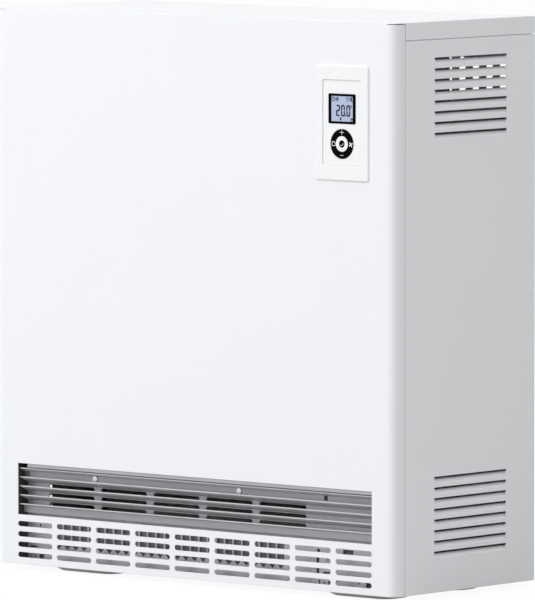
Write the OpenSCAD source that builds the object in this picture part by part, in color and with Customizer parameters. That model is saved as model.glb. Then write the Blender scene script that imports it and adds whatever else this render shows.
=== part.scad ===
// Floor-standing storage heater with a fan: painted sheet casing, brick core and room controller.
// Millimetres, +Z up, the front faces -Y, +X is to the right.
// Origin: middle of the bounding box, on the floor.

/* [Casing] */
// Overall width of the casing
body_w = 605; // [590:5:660]
// Depth of the casing, front face to back face
body_d = 250; // [246:2:280]
// Height of the casing above its feet
casing_h = 648; // [640:4:700]
// Thickness of the painted casing sheet
sheet = 1; // [0.8:0.1:1.2]
// Outside radius of the front panel's upright bends
corner_r = 11.5; // [8:0.5:13]
// Depth of the front panel's side returns
front_return = 17.5; // [16:0.5:20]
// Depth of the lid's side and rear flanges
lid_flange = 20; // [14:1:26]
// Width of the seams that show between casing panels
seam = 0.9; // [0.5:0.1:1.4]
// Gap between the lid and the rounded front corners
corner_gap = 0.8; // [0.6:0.1:1.6]
// Depth of the front panel's top and bottom hems
hem = 13; // [8:1:14]
// Side clearance between sheets that slide behind each other
lap_fit = 0.2; // [0.1:0.05:0.3]
// Rounding of the lid's upper edges
lid_round = 1.2; // [0.8:0.1:1.5]

/* [Feet] */
// Height of the feet
foot_h = 7; // [6:0.5:10]
// Width of a foot at the floor
foot_w = 86; // [60:2:90]
// Depth of a foot at the floor
foot_d = 44; // [36:2:50]
// Run of the sloped flank round a foot
foot_flank = 14; // [4:1:16]
// Corner radius of a foot at the floor
foot_r = 16; // [8:1:20]
// Wall of a foot
foot_wall = 2; // [1.6:0.2:2.4]
// Distance of the left feet from the casing's left side
foot_left = 111.5; // [100:0.5:130]
// Distance of the right feet from the casing's right side
foot_right = 77.5; // [70:0.5:100]
// Depth of the front feet's middle behind the front face
foot_front_in = 50; // [46:2:60]
// Distance of the rear feet's middle from the back face
foot_back_in = 76; // [46:2:80]
// Shank radius of the foot screws
foot_screw_r = 2.5; // [2:0.25:3]

/* [Air outlet and intake] */
// Distance of the outlet window from the casing's sides
outlet_side = 33.75; // [30:0.25:42]
// Height of the outlet window
outlet_h = 60; // [58:0.5:64]
// Height of the outlet window's lower edge above the casing's bottom
outlet_z = 58; // [57:0.5:62]
// Number of slat rows in the outlet
slat_rows = 5; // [4:1:5]
// Distance from one slat to the next
slat_pitch = 10.5; // [10.5:0.1:11]
// Height of the lowest slat's lip above the window's lower edge
slat_first = 12; // [11:0.5:13]
// Depth of the slats' lips behind the front face
slat_setback = 3.2; // [2.5:0.1:4]
// Front-to-back run of a slat
slat_run = 12.7; // [10:0.1:13.5]
// Drop of a slat from its lip to its back edge
slat_drop = 5.9; // [4:0.1:7]
// Thickness of a slat
slat_t = 1; // [0.8:0.1:1.2]
// Height of a slat's front lip
slat_lip = 1.3; // [1:0.1:2.4]
// Number of intake slot columns
intake_cols = 9; // [7:1:10]
// Number of intake slot rows
intake_rows = 4; // [3:1:4]
// Gap between neighbouring intake slots of a row
intake_gap = 7.2; // [6:0.2:9]
// Height of an intake slot
intake_h = 6.1; // [5:0.1:7]
// Distance from one intake row to the next
intake_pitch = 12.07; // [11.5:0.01:12.5]
// Height of the lowest intake row above the casing's bottom
intake_z = 11; // [9:0.5:11.5]

/* [Side louvres] */
// Number of louvres in a group
louvre_count = 8; // [6:1:9]
// Distance from one louvre to the next
louvre_pitch = 12.14; // [11:0.02:13]
// Length of a louvre
louvre_len = 129; // [100:1:140]
// Height of a louvre's opening
louvre_h = 7.7; // [6.5:0.1:8.5]
// Height of the open slit above a louvre's blade
louvre_slit = 2.6; // [2:0.1:3.2]
// How far a louvre's blade is pressed in
louvre_in = 4.2; // [3:0.1:5]
// Depth of the louvres' front end behind the front face
louvre_y = 70; // [60:1:80]
// Height of the lowest louvre of the lower group
louvre_low = 46.8; // [42:0.1:50]
// Distance of the highest louvre below the casing's top
louvre_high = 41.1; // [38:0.1:50]

/* [Rear panel] */
// Width of a rear vent slot
vent_w = 9.4; // [8:0.2:11]
// Distance from one rear vent slot to the next
vent_pitch = 20.1; // [18:0.1:22]
// Number of rear vent slots
vent_count = 5; // [4:1:5]
// Height of the rear vent slots
vent_h = 42; // [30:1:50]
// Distance of the vent slots' top below the casing's top
vent_top = 50; // [46:1:80]
// Distance of the first vent slot from the casing's right side
vent_side = 46.5; // [40:0.5:50]
// Hole radius of the wall fixing
wall_hole_r = 4; // [3:0.5:5]
// Distance of the wall fixing holes from the casing's sides
wall_hole_side = 23.5; // [20:0.5:26]
// Distance of the wall fixing holes below the casing's top
wall_hole_top = 48; // [40:1:70]
// Bore radius of the cable grommet
grommet_r = 6; // [5:0.5:8]
// Wall of the grommet round its bore
grommet_wall = 3; // [2:0.5:4]
// Overhang of the grommet's lips over the sheet
grommet_lip = 3; // [2:0.5:4]
// Thickness of the grommet's inner lip
grommet_lip_t = 2.5; // [2:0.5:4]
// Distance of the grommet from the casing's right side
grommet_side = 80; // [60:1:100]
// Height of the grommet above the casing's bottom
grommet_up = 150; // [100:5:200]
// How far the grommet and the screw heads stand out of the back
rear_proud = 1.6; // [1.2:0.1:2]

/* [Inner walls and core] */
// Thickness of the galvanised inner sheets
inner_t = 1; // [0.8:0.1:1.2]
// Thickness of the base pan
pan_t = 1.5; // [1.2:0.1:2]
// Height of the base pan's upturned edges
pan_edge = 14; // [10:1:16]
// Free space between the left side panel and the core
side_cavity = 46; // [42:1:50]
// Width of the switch room on the right
switch_room = 150; // [140:1:156]
// Depth of the core's front wall behind the front face
core_front = 24; // [22:0.5:26]
// Distance of the core's rear wall from the back face
core_back = 14; // [12:0.5:16]
// Height of the core's floor above the casing's bottom
core_floor = 150; // [148:1:156]
// Distance of the core's lid below the casing's top
core_top = 28; // [26:1:32]
// Thickness of the front and rear insulation boards
board_y = 34; // [30:1:38]
// Thickness of the left and right insulation boards
board_x = 40; // [34:1:44]
// Thickness of the upper and lower insulation boards
board_z = 46; // [40:1:50]
// Gap between neighbouring bricks
brick_gap = 0.5; // [0.3:0.1:1]
// Width of an air channel in a brick
channel_w = 12; // [8:1:14]
// Tube radius of a heating element
element_r = 4.25; // [3.5:0.25:4.5]
// Clearance round an element in its groove
element_fit = 0.6; // [0.4:0.1:1]
// Half the distance between an element's two legs
element_half = 30; // [24:1:34]
// Length of the elements' cold ends in the switch room
element_tail = 36; // [30:1:44]
// Radius of the core sensor's probe
sensor_r = 3; // [2:0.25:4]
// Distance of the core sensor behind the bricks' front
sensor_in = 22; // [18:1:24]

/* [Fan and mixing flap] */
// Outside radius of the fan rotor
rotor_r = 30; // [27:0.5:31]
// Number of blades on the rotor
rotor_blades = 24; // [18:1:28]
// Number of bays between the rotor's discs
rotor_bays = 4; // [3:1:5]
// Thickness of a rotor disc
disc_t = 1.2; // [1:0.1:1.5]
// Thickness of a rotor blade
blade_t = 0.8; // [0.6:0.1:1]
// Radial depth of the blade ring
blade_depth = 7; // [6:0.5:8]
// Radius of the fan shaft
shaft_r = 3; // [2.5:0.25:4]
// Running clearance round a shaft, on the radius
run_fit = 0.06; // [0.04:0.01:0.09]
// Depth of the fan axis behind the front face
fan_y = 146; // [142:1:150]
// Height of the fan axis above the casing's bottom
fan_z = 66; // [62:1:70]
// Clearance between the rotor and its housing
rotor_clear = 5; // [4:0.5:6]
// Side length of the motor's iron stack
motor_side = 56; // [50:1:60]
// Thickness of the motor's iron stack
motor_stack = 22; // [18:1:28]
// Depth of the mixing flap's axis behind the front face
flap_y = 62; // [58:1:66]
// Distance of the mixing flap's axis below the core's floor
flap_below = 12; // [11:0.5:14]
// Width of the flap plate from its axis to its edge
flap_w = 40; // [34:1:44]
// Radius of the flap's shaft
flap_r = 2.5; // [2:0.25:3]
// Length of the crank on the flap's shaft
crank_len = 14; // [10:1:16]

/* [Switch room] */
// How far the core's rear wall reaches into the switch room
rear_flange = 34.8; // [20:0.2:38]
// Number of ways of the terminal block
terminal_ways = 6; // [4:1:7]
// Distance from one way to the next
terminal_pitch = 12; // [10:0.5:14]
// Height of the terminal block
terminal_h = 26; // [22:1:30]
// Depth of the terminal block's base
terminal_d = 16; // [12:1:20]
// Width of the charge controller's box
control_w = 110; // [90:2:120]
// Height of the charge controller's box
control_h = 76; // [60:2:90]
// Depth of the charge controller's box
control_d = 26; // [20:1:32]
// Radius of the safety limiter's flange
limiter_r = 12; // [9:0.5:14]

/* [Room controller] */
// Distance of the controller's middle from the casing's right side
ctrl_right = 77; // [70:1:84]
// Distance of the controller's middle below the casing's top
ctrl_down = 114.7; // [90:0.1:150]
// Width of the controller's outer frame
ctrl_w = 78; // [74:1:84]
// Height of the controller's outer frame
ctrl_h = 131; // [126:1:140]
// How far the frame stands proud of the front panel
ctrl_proud = 2; // [1.5:0.1:2.6]
// Corner radius of the frame
ctrl_r = 3; // [2:0.5:5]
// Width of the recessed face
face_w = 56.4; // [54:0.2:60]
// Height of the recessed face
face_h = 96.4; // [94:0.2:104]
// How far the face lies below the frame's front
face_sunk = 1.1; // [0.8:0.1:1.3]
// Thickness of the face
face_t = 1.8; // [1.5:0.1:2.2]
// Corner radius of the recessed face
face_r = 2; // [1:0.5:3]
// Width of the black display surround
bezel_w = 39.8; // [38:0.2:42]
// Height of the black display surround
bezel_h = 33.7; // [32:0.1:36]
// Height of the display's middle above the controller's middle
bezel_z = 16; // [15:0.5:18]
// Width of the display window
lcd_w = 31.7; // [30:0.1:33]
// Height of the display window
lcd_h = 28.7; // [27:0.1:30]
// Outside radius of the key ring
ring_r = 16.65; // [15:0.05:17.5]
// Radius of the middle key
ok_r = 9; // [8:0.1:10]
// Distance of the key ring's middle below the controller's middle
ring_down = 23.7; // [22.5:0.1:25]
// How far the keys stand proud of the face
key_proud = 0.5; // [0.3:0.1:0.8]
// Clearance round each key
key_fit = 0.15; // [0.1:0.01:0.2]
// Travel of a key
key_travel = 0.5; // [0.4:0.05:0.7]
// Depth of the controller's rear housing
ctrl_depth = 15; // [14:0.5:16]
// Wall of the controller's rear housing
ctrl_wall = 1.6; // [1.4:0.1:2]

/* [Hidden] */
$fn = 48;
cut = 0.5;

// Main planes of the casing
hw = body_w / 2;
front = -(body_d + ctrl_proud + rear_proud) / 2 + ctrl_proud;
rear = front + body_d;
floor_z = foot_h;
top = foot_h + casing_h;
function yd(depth) = front + depth;
function zh(height) = foot_h + height;

// Sheets that lap behind each other
side_front = yd(front_return + seam);
lid_seam = top - lid_flange - seam;
lap_out = hw - sheet - lap_fit;
lap_in = lap_out - sheet;
joggle = 1.5;
rear_lap = rear - sheet - lap_fit;
lap_stop = 3;
lap_end = rear_lap - sheet - lap_fit - lap_stop;

// Foot places: left pair and right pair, front and back
foot_xs = [-hw + foot_left, hw - foot_right];
foot_front = yd(foot_front_in);
foot_back = rear - foot_back_in;
foot_head_r = foot_screw_r * 2;
foot_boss_r = foot_head_r + foot_wall;
foot_head_t = 2;
foot_sink = 3;

// Lid screws, louvres and grommet
lid_screw_xs = [-hw + 60, 0, hw - 60];
lid_screw_r = 2;
lid_head_r = 4;
louvre_tops = [
    for (i = [0 : louvre_count - 1]) zh(louvre_low + i * louvre_pitch),
    for (i = [0 : louvre_count - 1]) top - louvre_high - i * louvre_pitch
];
grommet_x = hw - grommet_side;
grommet_z = zh(grommet_up);

// Outlet and intake
outlet_w = body_w - 2 * outlet_side;
plate_end = outlet_w / 2;
outlet_low = zh(outlet_z);
outlet_top = outlet_low + outlet_h;
slot_len = (outlet_w - (intake_cols - 1) * intake_gap) / intake_cols;
slot_pitch = slot_len + intake_gap;
duct_y = front_return;
cheek_t = 1.5;
cheek_over = 4;
rail_y = slat_setback + slat_run - 3.7;
rail_t = 1.2;
rail_low = slat_first + (slat_rows - 2) * slat_pitch - 2.7;
rail_high = rail_low + slat_pitch;
rail_screw_z = outlet_low + rail_low + 6;
rail_screw_x = [-158.9, 61.3];
rail_screw_r = 2;
rail_head_r = 3.5;
rail_head_t = 1.2;
top_slat_run = rail_y - slat_setback - rail_head_t - 0.6;
low_slat_run = 8;
low_slat_drop = 1.6;
low_rail_gap = 1.8;
strip_in = 14.1;
strip_show = 4.2;
rail_slots = [3.3, 6.7];
rail_hole = 5.5;
rail_hole_x = 190.8;
duct_cols = 5;
duct_rows = 3;
duct_slot_len = 70.2;
duct_slot_h = 6;
duct_slot_pitch = 80.5;
duct_slot_x = -39;
duct_slot_z = slat_first + 0.1;
window_count = 27;
window_pitch = 13.06;
window_w = 10.6;
window_x = -50.9;
window_low = 18.5;
window_high = 55;
window_point = 5;
filter_border = 4;
filter_t = 3;
felt_t = 1;
filter_low = 3;
filter_high = 60;

// Holes at the ends of the duct's front plate: x, height, radius
plate_dots = [
    [4.9 - plate_end, 7.9, 1.4],
    [11.8 - plate_end, 8, 1.4],
    [19.4 - plate_end, 44.6, 1.5],
    [plate_end - 93.5, 43.6, 2.4],
    [plate_end - 84.9, 7.3, 1.3],
    [plate_end - 79.5, 33.7, 1.3],
    [plate_end - 66.2, 10, 1],
    [plate_end - 33.1, 9.9, 1.2]
];
// Openings at the ends of the plate: left, low, width, height
plate_openings = [
    [3 - plate_end, 18.5, 10.7, 2],
    [17.6 - plate_end, 6, 7.6, 5.2],
    [plate_end - 96.5, 16, 4.2, 20],
    [plate_end - 89, 100.5, 13, 8],
    [plate_end - 93.2, 5.1, 2.5, 5.5],
    [plate_end - 86.4, 17.9, 10.6, 2.1],
    [plate_end - 79.2, 5.7, 3.1, 3.9],
    [plate_end - 67.7, 16.8, 50.4, 1.3],
    [plate_end - 56.9, 41.9, 15.3, 5.2],
    [plate_end - 22.8, 5.5, 10, 6.5]
];

// Core box
core_x0 = -hw + side_cavity;
core_x1 = hw - switch_room;
core_y0 = yd(core_front);
core_y1 = rear - core_back;
core_z0 = zh(core_floor);
core_z1 = top - core_top;
pan_top = floor_z + pan_t;
store_x0 = core_x0 + board_x;
store_x1 = core_x1 - board_x;
store_y0 = core_y0 + board_y;
store_y1 = core_y1 - board_y;
store_z0 = core_z0 + inner_t + board_z;
store_z1 = core_z1 - board_z;
brick_stages = 3;
layer_h = (store_z1 - store_z0) / (2 * brick_stages);
core_mid_y = (store_y0 + store_y1) / 2;
brick_w = (store_x1 - store_x0 - brick_gap) / 2;
groove_r = element_r + element_fit;
element_levels = [for (i = [0 : brick_stages - 1]) store_z0 + (2 * i + 1) * layer_h];
channel_ys = [store_y0 + 16, store_y1 - 16];
channel_len = brick_w - 40;
element_turn_x = store_x0 + element_half + groove_r + 14;
flange_t = 2;
flange_h = 22;
flange_over = 12;
wall_slot_from = 34;
wall_slot_to = 47;
sensor_y = store_y0 + sensor_in;
sensor_z = store_z0 + 4 * layer_h;

// Fan
axis_y = yd(fan_y);
axis_z = zh(fan_z);
fan_x0 = core_x0 + 36;
fan_x1 = core_x1 - 36;
rotor_len = fan_x1 - fan_x0;
scroll_r = rotor_r + rotor_clear;
scroll_t = 1.2;
end_gap = 4;
scroll_x0 = fan_x0 - end_gap - scroll_t;
scroll_x1 = fan_x1 + end_gap + scroll_t;
scroll_front = axis_y - rotor_r - rotor_clear - 22;
bush_r = shaft_r + 5;
motor_x = core_x1 + inner_t;
motor_hub_r = 11;
motor_gap = 6;
motor_plate_t = 3;
motor_plate_h = 24;
coil_w = 28;
coil_over = 5;
armature_r = 14;
air_gap = 0.5;

// Mixing flap
flap_axis_y = yd(flap_y);
flap_axis_z = core_z0 - flap_below;
flap_x0 = fan_x0;
flap_x1 = fan_x1;
flap_t = 1;
bracket_w = 18;
bracket_t = 2;
bracket_foot = 5;
bracket_low = 7;
crank_x = flap_x1 + 6;
crank_t = 3;
bimetal_t = 1.2;

// Controller, measured in depth behind the front face (less than 0 is proud of it)
ctrl_x = hw - ctrl_right;
ctrl_mid = top - ctrl_down;
face_y = -ctrl_proud + face_sunk;
bezel_t = 1;
bezel_y = face_y - 0.4;
glass_t = 0.7;
ledge = 1.6;
house_w = face_w + 8;
house_h = face_h + 8;
pcb_t = 1.6;
pcb_y = ctrl_depth - ctrl_wall - pcb_t - 3;
switch_t = 4;
key_y = face_y - key_proud;
stem_r = 2.4;
stem_end = pcb_y - switch_t - key_travel - 0.05;
key_mid_r = (ring_r + ok_r) / 2;

face_gap = 0.05;
bezel_r = 1.5;
lip_in = 3;
lip_t = 1.2;
post_r = 2.5;
frame_round = 1.6;
recess_chamfer = 0.6;

// Switch room parts on the partition
part_face = core_x1 + inner_t;
terminal_z = store_z0 - 24;

// ---------------------------------------------------------------- helpers

// Box from two corners
module block(a, b) {
    translate(a)
        cube(b - a);
}

// Outline (depth, height) swept along X from x0 to x1
module along_x(x0, x1) {
    translate([x0, 0, 0])
        rotate([90, 0, 90])
            linear_extrude(x1 - x0)
                children();
}

// Outline (x, height) swept from depth d0 to depth d1 behind the front face
module along_y(d0, d1) {
    translate([0, yd(d1), 0])
        rotate([90, 0, 0])
            linear_extrude(d1 - d0)
                children();
}

// Cylinder along X
module rod_x(r, x0, x1) {
    translate([x0, 0, 0])
        rotate([0, 90, 0])
            cylinder(r = r, h = x1 - x0);
}

// Rectangle with true round corners, centred
module round_rect(w, h, r) {
    square([w - 2 * r, h], center = true);
    square([w, h - 2 * r], center = true);
    for (x = [-1, 1], y = [-1, 1])
        translate([x * (w / 2 - r), y * (h / 2 - r)])
            circle(r = r);
}

// Slot with round ends, centred, long along X
module slot(len, h) {
    square([len - h, h], center = true);
    for (side = [-1, 1])
        translate([side * (len - h) / 2, 0])
            circle(d = h);
}

// ---------------------------------------------------------------- casing

module base_pan() {
    color("silver")
        difference() {
            union() {
                block([-lap_out, yd(hem + 2), floor_z], [lap_out, rear - sheet, pan_top]);
                for (side = [0, 1])
                    mirror([side, 0, 0])
                        block([lap_out - pan_t, side_front + joggle, floor_z],
                              [lap_out, rear - sheet, floor_z + pan_edge]);
                block([-lap_out, rear - sheet - pan_t, floor_z],
                      [lap_out, rear - sheet, floor_z + pan_edge]);
            }
            for (x = foot_xs, y = [foot_front, foot_back])
                translate([x, y, floor_z - cut])
                    cylinder(r = foot_screw_r, h = pan_t + 2 * cut);
        }
}

// One flared plate of a foot, grown by a margin
module foot_plate(grow, z) {
    translate([0, 0, z])
        linear_extrude(0.01)
            round_rect(foot_w + 2 * grow, foot_d + 2 * grow, foot_r + grow);
}

module foot() {
    difference() {
        union() {
            difference() {
                hull($fn = 32) {
                    foot_plate(0, 0);
                    foot_plate(foot_flank, foot_h - 0.01);
                }
                hull($fn = 32) {
                    foot_plate(-foot_wall, foot_wall);
                    foot_plate(foot_flank - foot_wall, foot_h + cut);
                }
            }
            cylinder(r = foot_boss_r, h = foot_h);
        }
        translate([0, 0, -cut])
            cylinder(r = foot_screw_r, h = foot_h + 2 * cut);
        translate([0, 0, -cut])
            cylinder(r = foot_head_r, h = foot_sink + cut);
    }
}

module feet_row(y) {
    color("whitesmoke")
        for (x = foot_xs)
            translate([x, y, 0])
                foot();
}

module foot_screws() {
    color("silver")
        for (x = foot_xs, y = [foot_front, foot_back])
            translate([x, y, 0]) {
                translate([0, 0, foot_sink - foot_head_t])
                    cylinder(r = foot_head_r - 0.5, h = foot_head_t);
                translate([0, 0, foot_sink - foot_head_t])
                    cylinder(r = foot_screw_r - 0.1, h = foot_h - foot_sink + foot_head_t + pan_t + 3);
            }
}

// Outline of the front panel in plan: face, two round bends and two returns
module front_outline(shrink) {
    past = shrink > 0 ? cut : 0;
    intersection() {
        translate([-hw, front])
            square([body_w, front_return + past]);
        lid_outline(shrink, front_return + 2 * corner_r);
    }
}

// Plan with two round front corners, shrunk by a margin, running back to a depth
module lid_outline(shrink, depth) {
    translate([-hw + corner_r, front + shrink])
        square([body_w - 2 * corner_r, corner_r]);
    translate([-hw + shrink, front + corner_r])
        square([body_w - 2 * shrink, depth - corner_r]);
    for (side = [-1, 1])
        translate([side * (hw - corner_r), front + corner_r])
            circle(r = corner_r - shrink);
}

// Cut-outs of the front panel as seen from the front
module front_cuts() {
    translate([-outlet_w / 2, outlet_low])
        square([outlet_w, outlet_h]);
    for (col = [0 : intake_cols - 1], row = [0 : intake_rows - 1])
        translate([(col - (intake_cols - 1) / 2) * slot_pitch, zh(intake_z + row * intake_pitch)])
            slot(slot_len, intake_h);
    translate([ctrl_x, ctrl_mid])
        round_rect(house_w + 1, house_h + 1, face_r);
}

module front_panel() {
    flat = hw - corner_r;
    color("white")
        difference() {
            union() {
                difference() {
                    translate([0, 0, floor_z])
                        linear_extrude(casing_h - sheet)
                            front_outline(0);
                    translate([0, 0, floor_z - cut])
                        linear_extrude(casing_h + 2 * cut)
                            front_outline(sheet);
                    // The round corners stop short of the lid
                    for (side = [0, 1])
                        mirror([side, 0, 0])
                            block([flat, front - cut, top - sheet - corner_gap],
                                  [hw + cut, yd(front_return) + cut, top]);
                }
                block([-flat, front, floor_z], [flat, yd(hem), floor_z + sheet]);
                block([-flat, front, top - 2 * sheet], [flat, yd(hem), top - sheet]);
            }
            along_y(-cut, sheet + cut)
                front_cuts();
        }
}

// Full outer form of the lid, its upper edges rounded
module lid_form() {
    hull()
        for (a = [0, 30, 60, 90])
            translate([0, 0, top - lid_flange])
                linear_extrude(lid_flange - lid_round * (1 - sin(a)))
                    lid_outline(lid_round * (1 - cos(a)), body_d - lid_round * (1 - cos(a)));
}

module top_cover() {
    color("white")
        difference() {
            lid_form();
            block([-hw + sheet, front - cut, top - lid_flange - cut],
                  [hw - sheet, rear - sheet, top - sheet]);
            block([-hw - cut, front - cut, top - lid_flange - cut],
                  [hw + cut, side_front, top - sheet]);
            for (x = lid_screw_xs)
                translate([x, rear + cut, top - lid_flange / 2])
                    rotate([90, 0, 0])
                        cylinder(r = lid_screw_r, h = sheet + 2 * cut);
        }
}

module lid_screws() {
    color("silver")
        for (x = lid_screw_xs)
            translate([x, rear, top - lid_flange / 2])
                rotate([90, 0, 0]) {
                    translate([0, 0, -rear_proud])
                        cylinder(r = lid_head_r, h = rear_proud);
                    cylinder(r = lid_screw_r - 0.1, h = 8);
                }
}

// A louvre in the sheet x = 0..-sheet, its opening's top at z = 0, running along +Y
module louvre_cut() {
    block([-sheet - cut, 0, -louvre_h], [cut, louvre_len, 0]);
}

module louvre_blade() {
    rotate([90, 0, 0])
        mirror([0, 0, 1])
            linear_extrude(louvre_len)
                polygon([[0, -louvre_h - sheet], [0, -louvre_h], [-louvre_in, -louvre_slit],
                         [-louvre_in - sheet, -louvre_slit], [-sheet, -louvre_h],
                         [-sheet, -louvre_h - sheet]]);
    for (y = [0, louvre_len - sheet])
        translate([0, y, 0])
            rotate([90, 0, 0])
                mirror([0, 0, 1])
                    linear_extrude(sheet)
                        polygon([[0, -louvre_h], [0, -louvre_slit],
                                 [-louvre_in - sheet, -louvre_slit], [-sheet, -louvre_h]]);
}

module side_panel() {
    color("white") {
        difference() {
            block([hw - sheet, side_front, floor_z], [hw, rear, lid_seam]);
            for (z = louvre_tops)
                translate([hw, yd(louvre_y), z])
                    louvre_cut();
        }
        for (z = louvre_tops)
            translate([hw, yd(louvre_y), z])
                louvre_blade();
        // Edge that laps behind the front panel's return
        block([lap_in, yd(corner_r), pan_top], [lap_out, side_front + joggle, lid_seam]);
        block([lap_in, side_front, pan_top], [hw - sheet, side_front + joggle, lid_seam]);
        // Edge that laps behind the lid's flange
        block([lap_in, side_front, lid_seam - joggle],
              [lap_out, lap_end, top - sheet]);
        block([lap_in, side_front, lid_seam - joggle],
              [hw - sheet, lap_end, lid_seam]);
    }
}

module rear_panel() {
    flange_x = lap_out;
    color("white")
        difference() {
            union() {
                block([-lap_out, rear - sheet, floor_z], [lap_out, rear, lid_seam]);
                for (side = [0, 1])
                    mirror([side, 0, 0])
                        block([flange_x - sheet, rear - sheet - pan_edge, floor_z + pan_edge + joggle],
                              [flange_x, rear - sheet, lid_seam - 2 * joggle]);
                // Edge that laps behind the lid's flange
                block([-lap_in + lap_stop, rear_lap - sheet, lid_seam - joggle],
                      [lap_in - lap_stop, rear_lap, top - sheet]);
                block([-lap_in + lap_stop, rear_lap - sheet, lid_seam - joggle],
                      [lap_in - lap_stop, rear, lid_seam]);
            }
            for (i = [0 : vent_count - 1])
                translate([hw - vent_side - i * vent_pitch, rear + cut, top - vent_top - vent_h / 2])
                    rotate([90, 90, 0])
                        linear_extrude(sheet + 2 * cut)
                            slot(vent_h, vent_w);
            for (side = [-1, 1])
                translate([side * (hw - wall_hole_side), rear + cut, top - wall_hole_top])
                    rotate([90, 0, 0])
                        cylinder(r = wall_hole_r, h = sheet + 2 * cut);
            translate([grommet_x, rear + cut, grommet_z])
                rotate([90, 0, 0])
                    cylinder(r = grommet_r + grommet_wall, h = sheet + 2 * cut);
            for (x = lid_screw_xs)
                translate([x, rear + cut, top - lid_flange / 2])
                    rotate([90, 0, 0])
                        cylinder(r = lid_screw_r, h = 3 * sheet + 2 * cut);
        }
}

module cable_grommet() {
    color("dimgray")
        translate([grommet_x, rear, grommet_z])
            rotate([90, 0, 0])
                difference() {
                    union() {
                        cylinder(r = grommet_r + grommet_wall, h = sheet);
                        translate([0, 0, -rear_proud])
                            cylinder(r = grommet_r + grommet_wall + grommet_lip, h = rear_proud);
                        translate([0, 0, sheet])
                            cylinder(r = grommet_r + grommet_wall + grommet_lip, h = grommet_lip_t);
                    }
                    translate([0, 0, -rear_proud - cut])
                        cylinder(r = grommet_r, h = rear_proud + sheet + grommet_lip_t + 2 * cut);
                }
}

// ---------------------------------------------------------------- outlet and intake

// Side view of a slat from its lip, running back and down
module slat_outline(run, fall) {
    polygon([[0, -slat_lip / 2], [0, slat_lip / 2], [slat_t, slat_lip / 2],
             [run, slat_t / 2 - fall], [run, -slat_t / 2 - fall], [slat_t, -slat_lip / 2]]);
}

module outlet_slats() {
    color("lightgray")
        for (row = [0 : slat_rows - 1])
            along_x(-outlet_w / 2, outlet_w / 2)
                translate([yd(slat_setback), outlet_low + slat_first + row * slat_pitch])
                    if (row == 0)
                        slat_outline(low_slat_run, low_slat_drop);
                    else if (row == slat_rows - 1)
                        slat_outline(top_slat_run, slat_drop * top_slat_run / slat_run);
                    else
                        slat_outline(slat_run, slat_drop);
}

// Upright rail under the lowest slat, with a flange back to the duct's plate
module grille_bottom_rail() {
    face = slat_setback + low_slat_run - rail_t;
    color("silver")
        along_x(-outlet_w / 2, outlet_w / 2)
            translate([front, outlet_low]) {
                translate([face, low_rail_gap])
                    square([rail_t, slat_first - low_slat_drop - slat_t / 2 - low_rail_gap]);
                translate([face, low_rail_gap])
                    square([duct_y - face, rail_t]);
            }
}

module grille_mount_rail() {
    color("silver")
        difference() {
            union() {
                block([-outlet_w / 2, yd(rail_y), outlet_low + rail_low],
                      [outlet_w / 2, yd(rail_y + rail_t), outlet_low + rail_high]);
                for (side = [0, 1])
                    mirror([side, 0, 0])
                        block([outlet_w / 2 - rail_t, yd(rail_y), outlet_low + rail_low],
                              [outlet_w / 2, yd(duct_y), outlet_low + rail_high]);
                // Hanging strip behind the window's upper edge
                block([-outlet_w / 2 + strip_in, yd(sheet), outlet_top - strip_show],
                      [outlet_w / 2, yd(sheet + rail_t), outlet_top + strip_show]);
            }
            for (x = rail_screw_x)
                translate([x, yd(duct_y), rail_screw_z])
                    rotate([90, 0, 0])
                        cylinder(r = rail_screw_r, h = duct_y);
            translate([rail_hole_x, yd(rail_y), rail_screw_z])
                cube([rail_hole, 4, rail_hole], center = true);
            for (step = rail_slots)
                translate([-outlet_w / 2 + step, yd(rail_y), rail_screw_z])
                    cube([1.6, 4, rail_hole + 1], center = true);
        }
}

module duct_screws() {
    shank = duct_y - rail_y + inner_t + 2;
    color("gainsboro")
        for (x = rail_screw_x)
            translate([x, yd(rail_y), rail_screw_z])
                rotate([90, 0, 0]) {
                    cylinder(r = rail_head_r, h = rail_head_t);
                    translate([0, 0, -shank])
                        cylinder(r = rail_screw_r - 0.1, h = shank);
                }
}

module duct_side_cheeks() {
    color("dimgray")
        for (side = [0, 1])
            mirror([side, 0, 0])
                block([outlet_w / 2, yd(sheet), pan_top],
                      [outlet_w / 2 + cheek_t, yd(duct_y + inner_t), outlet_top + cheek_over]);
}

// Intake window with pointed ends
module intake_window() {
    polygon([[0, window_point], [window_w / 2, 0], [window_w, window_point],
             [window_w, window_high - window_low - window_point],
             [window_w / 2, window_high - window_low], [0, window_high - window_low - window_point]]);
}

module duct_front_plate() {
    color("silver")
        difference() {
            union() {
                block([-outlet_w / 2, yd(duct_y), pan_top], [outlet_w / 2, yd(duct_y + inner_t), core_z0]);
                block([-outlet_w / 2, yd(duct_y), pan_top],
                      [outlet_w / 2, yd(core_front), pan_top + inner_t]);
                block([-outlet_w / 2, yd(duct_y), core_z0 - inner_t],
                      [outlet_w / 2, yd(core_front), core_z0]);
            }
            along_y(duct_y - cut, duct_y + inner_t + cut) {
                for (col = [0 : duct_cols - 1], row = [0 : duct_rows - 1])
                    translate([duct_slot_x + (col - (duct_cols - 1) / 2) * duct_slot_pitch,
                               outlet_low + duct_slot_z + row * slat_pitch])
                        slot(duct_slot_len, duct_slot_h);
                for (i = [0 : window_count - 1])
                    translate([window_x + (i - (window_count - 1) / 2) * window_pitch - window_w / 2,
                               zh(window_low)])
                        intake_window();
                for (dot = plate_dots)
                    translate([dot[0], zh(dot[1])])
                        circle(r = dot[2]);
                for (hole = plate_openings)
                    translate([hole[0], zh(hole[1])])
                        square([hole[2], hole[3]]);
                for (x = rail_screw_x)
                    translate([x, rail_screw_z])
                        circle(r = rail_screw_r);
            }
        }
}

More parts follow.
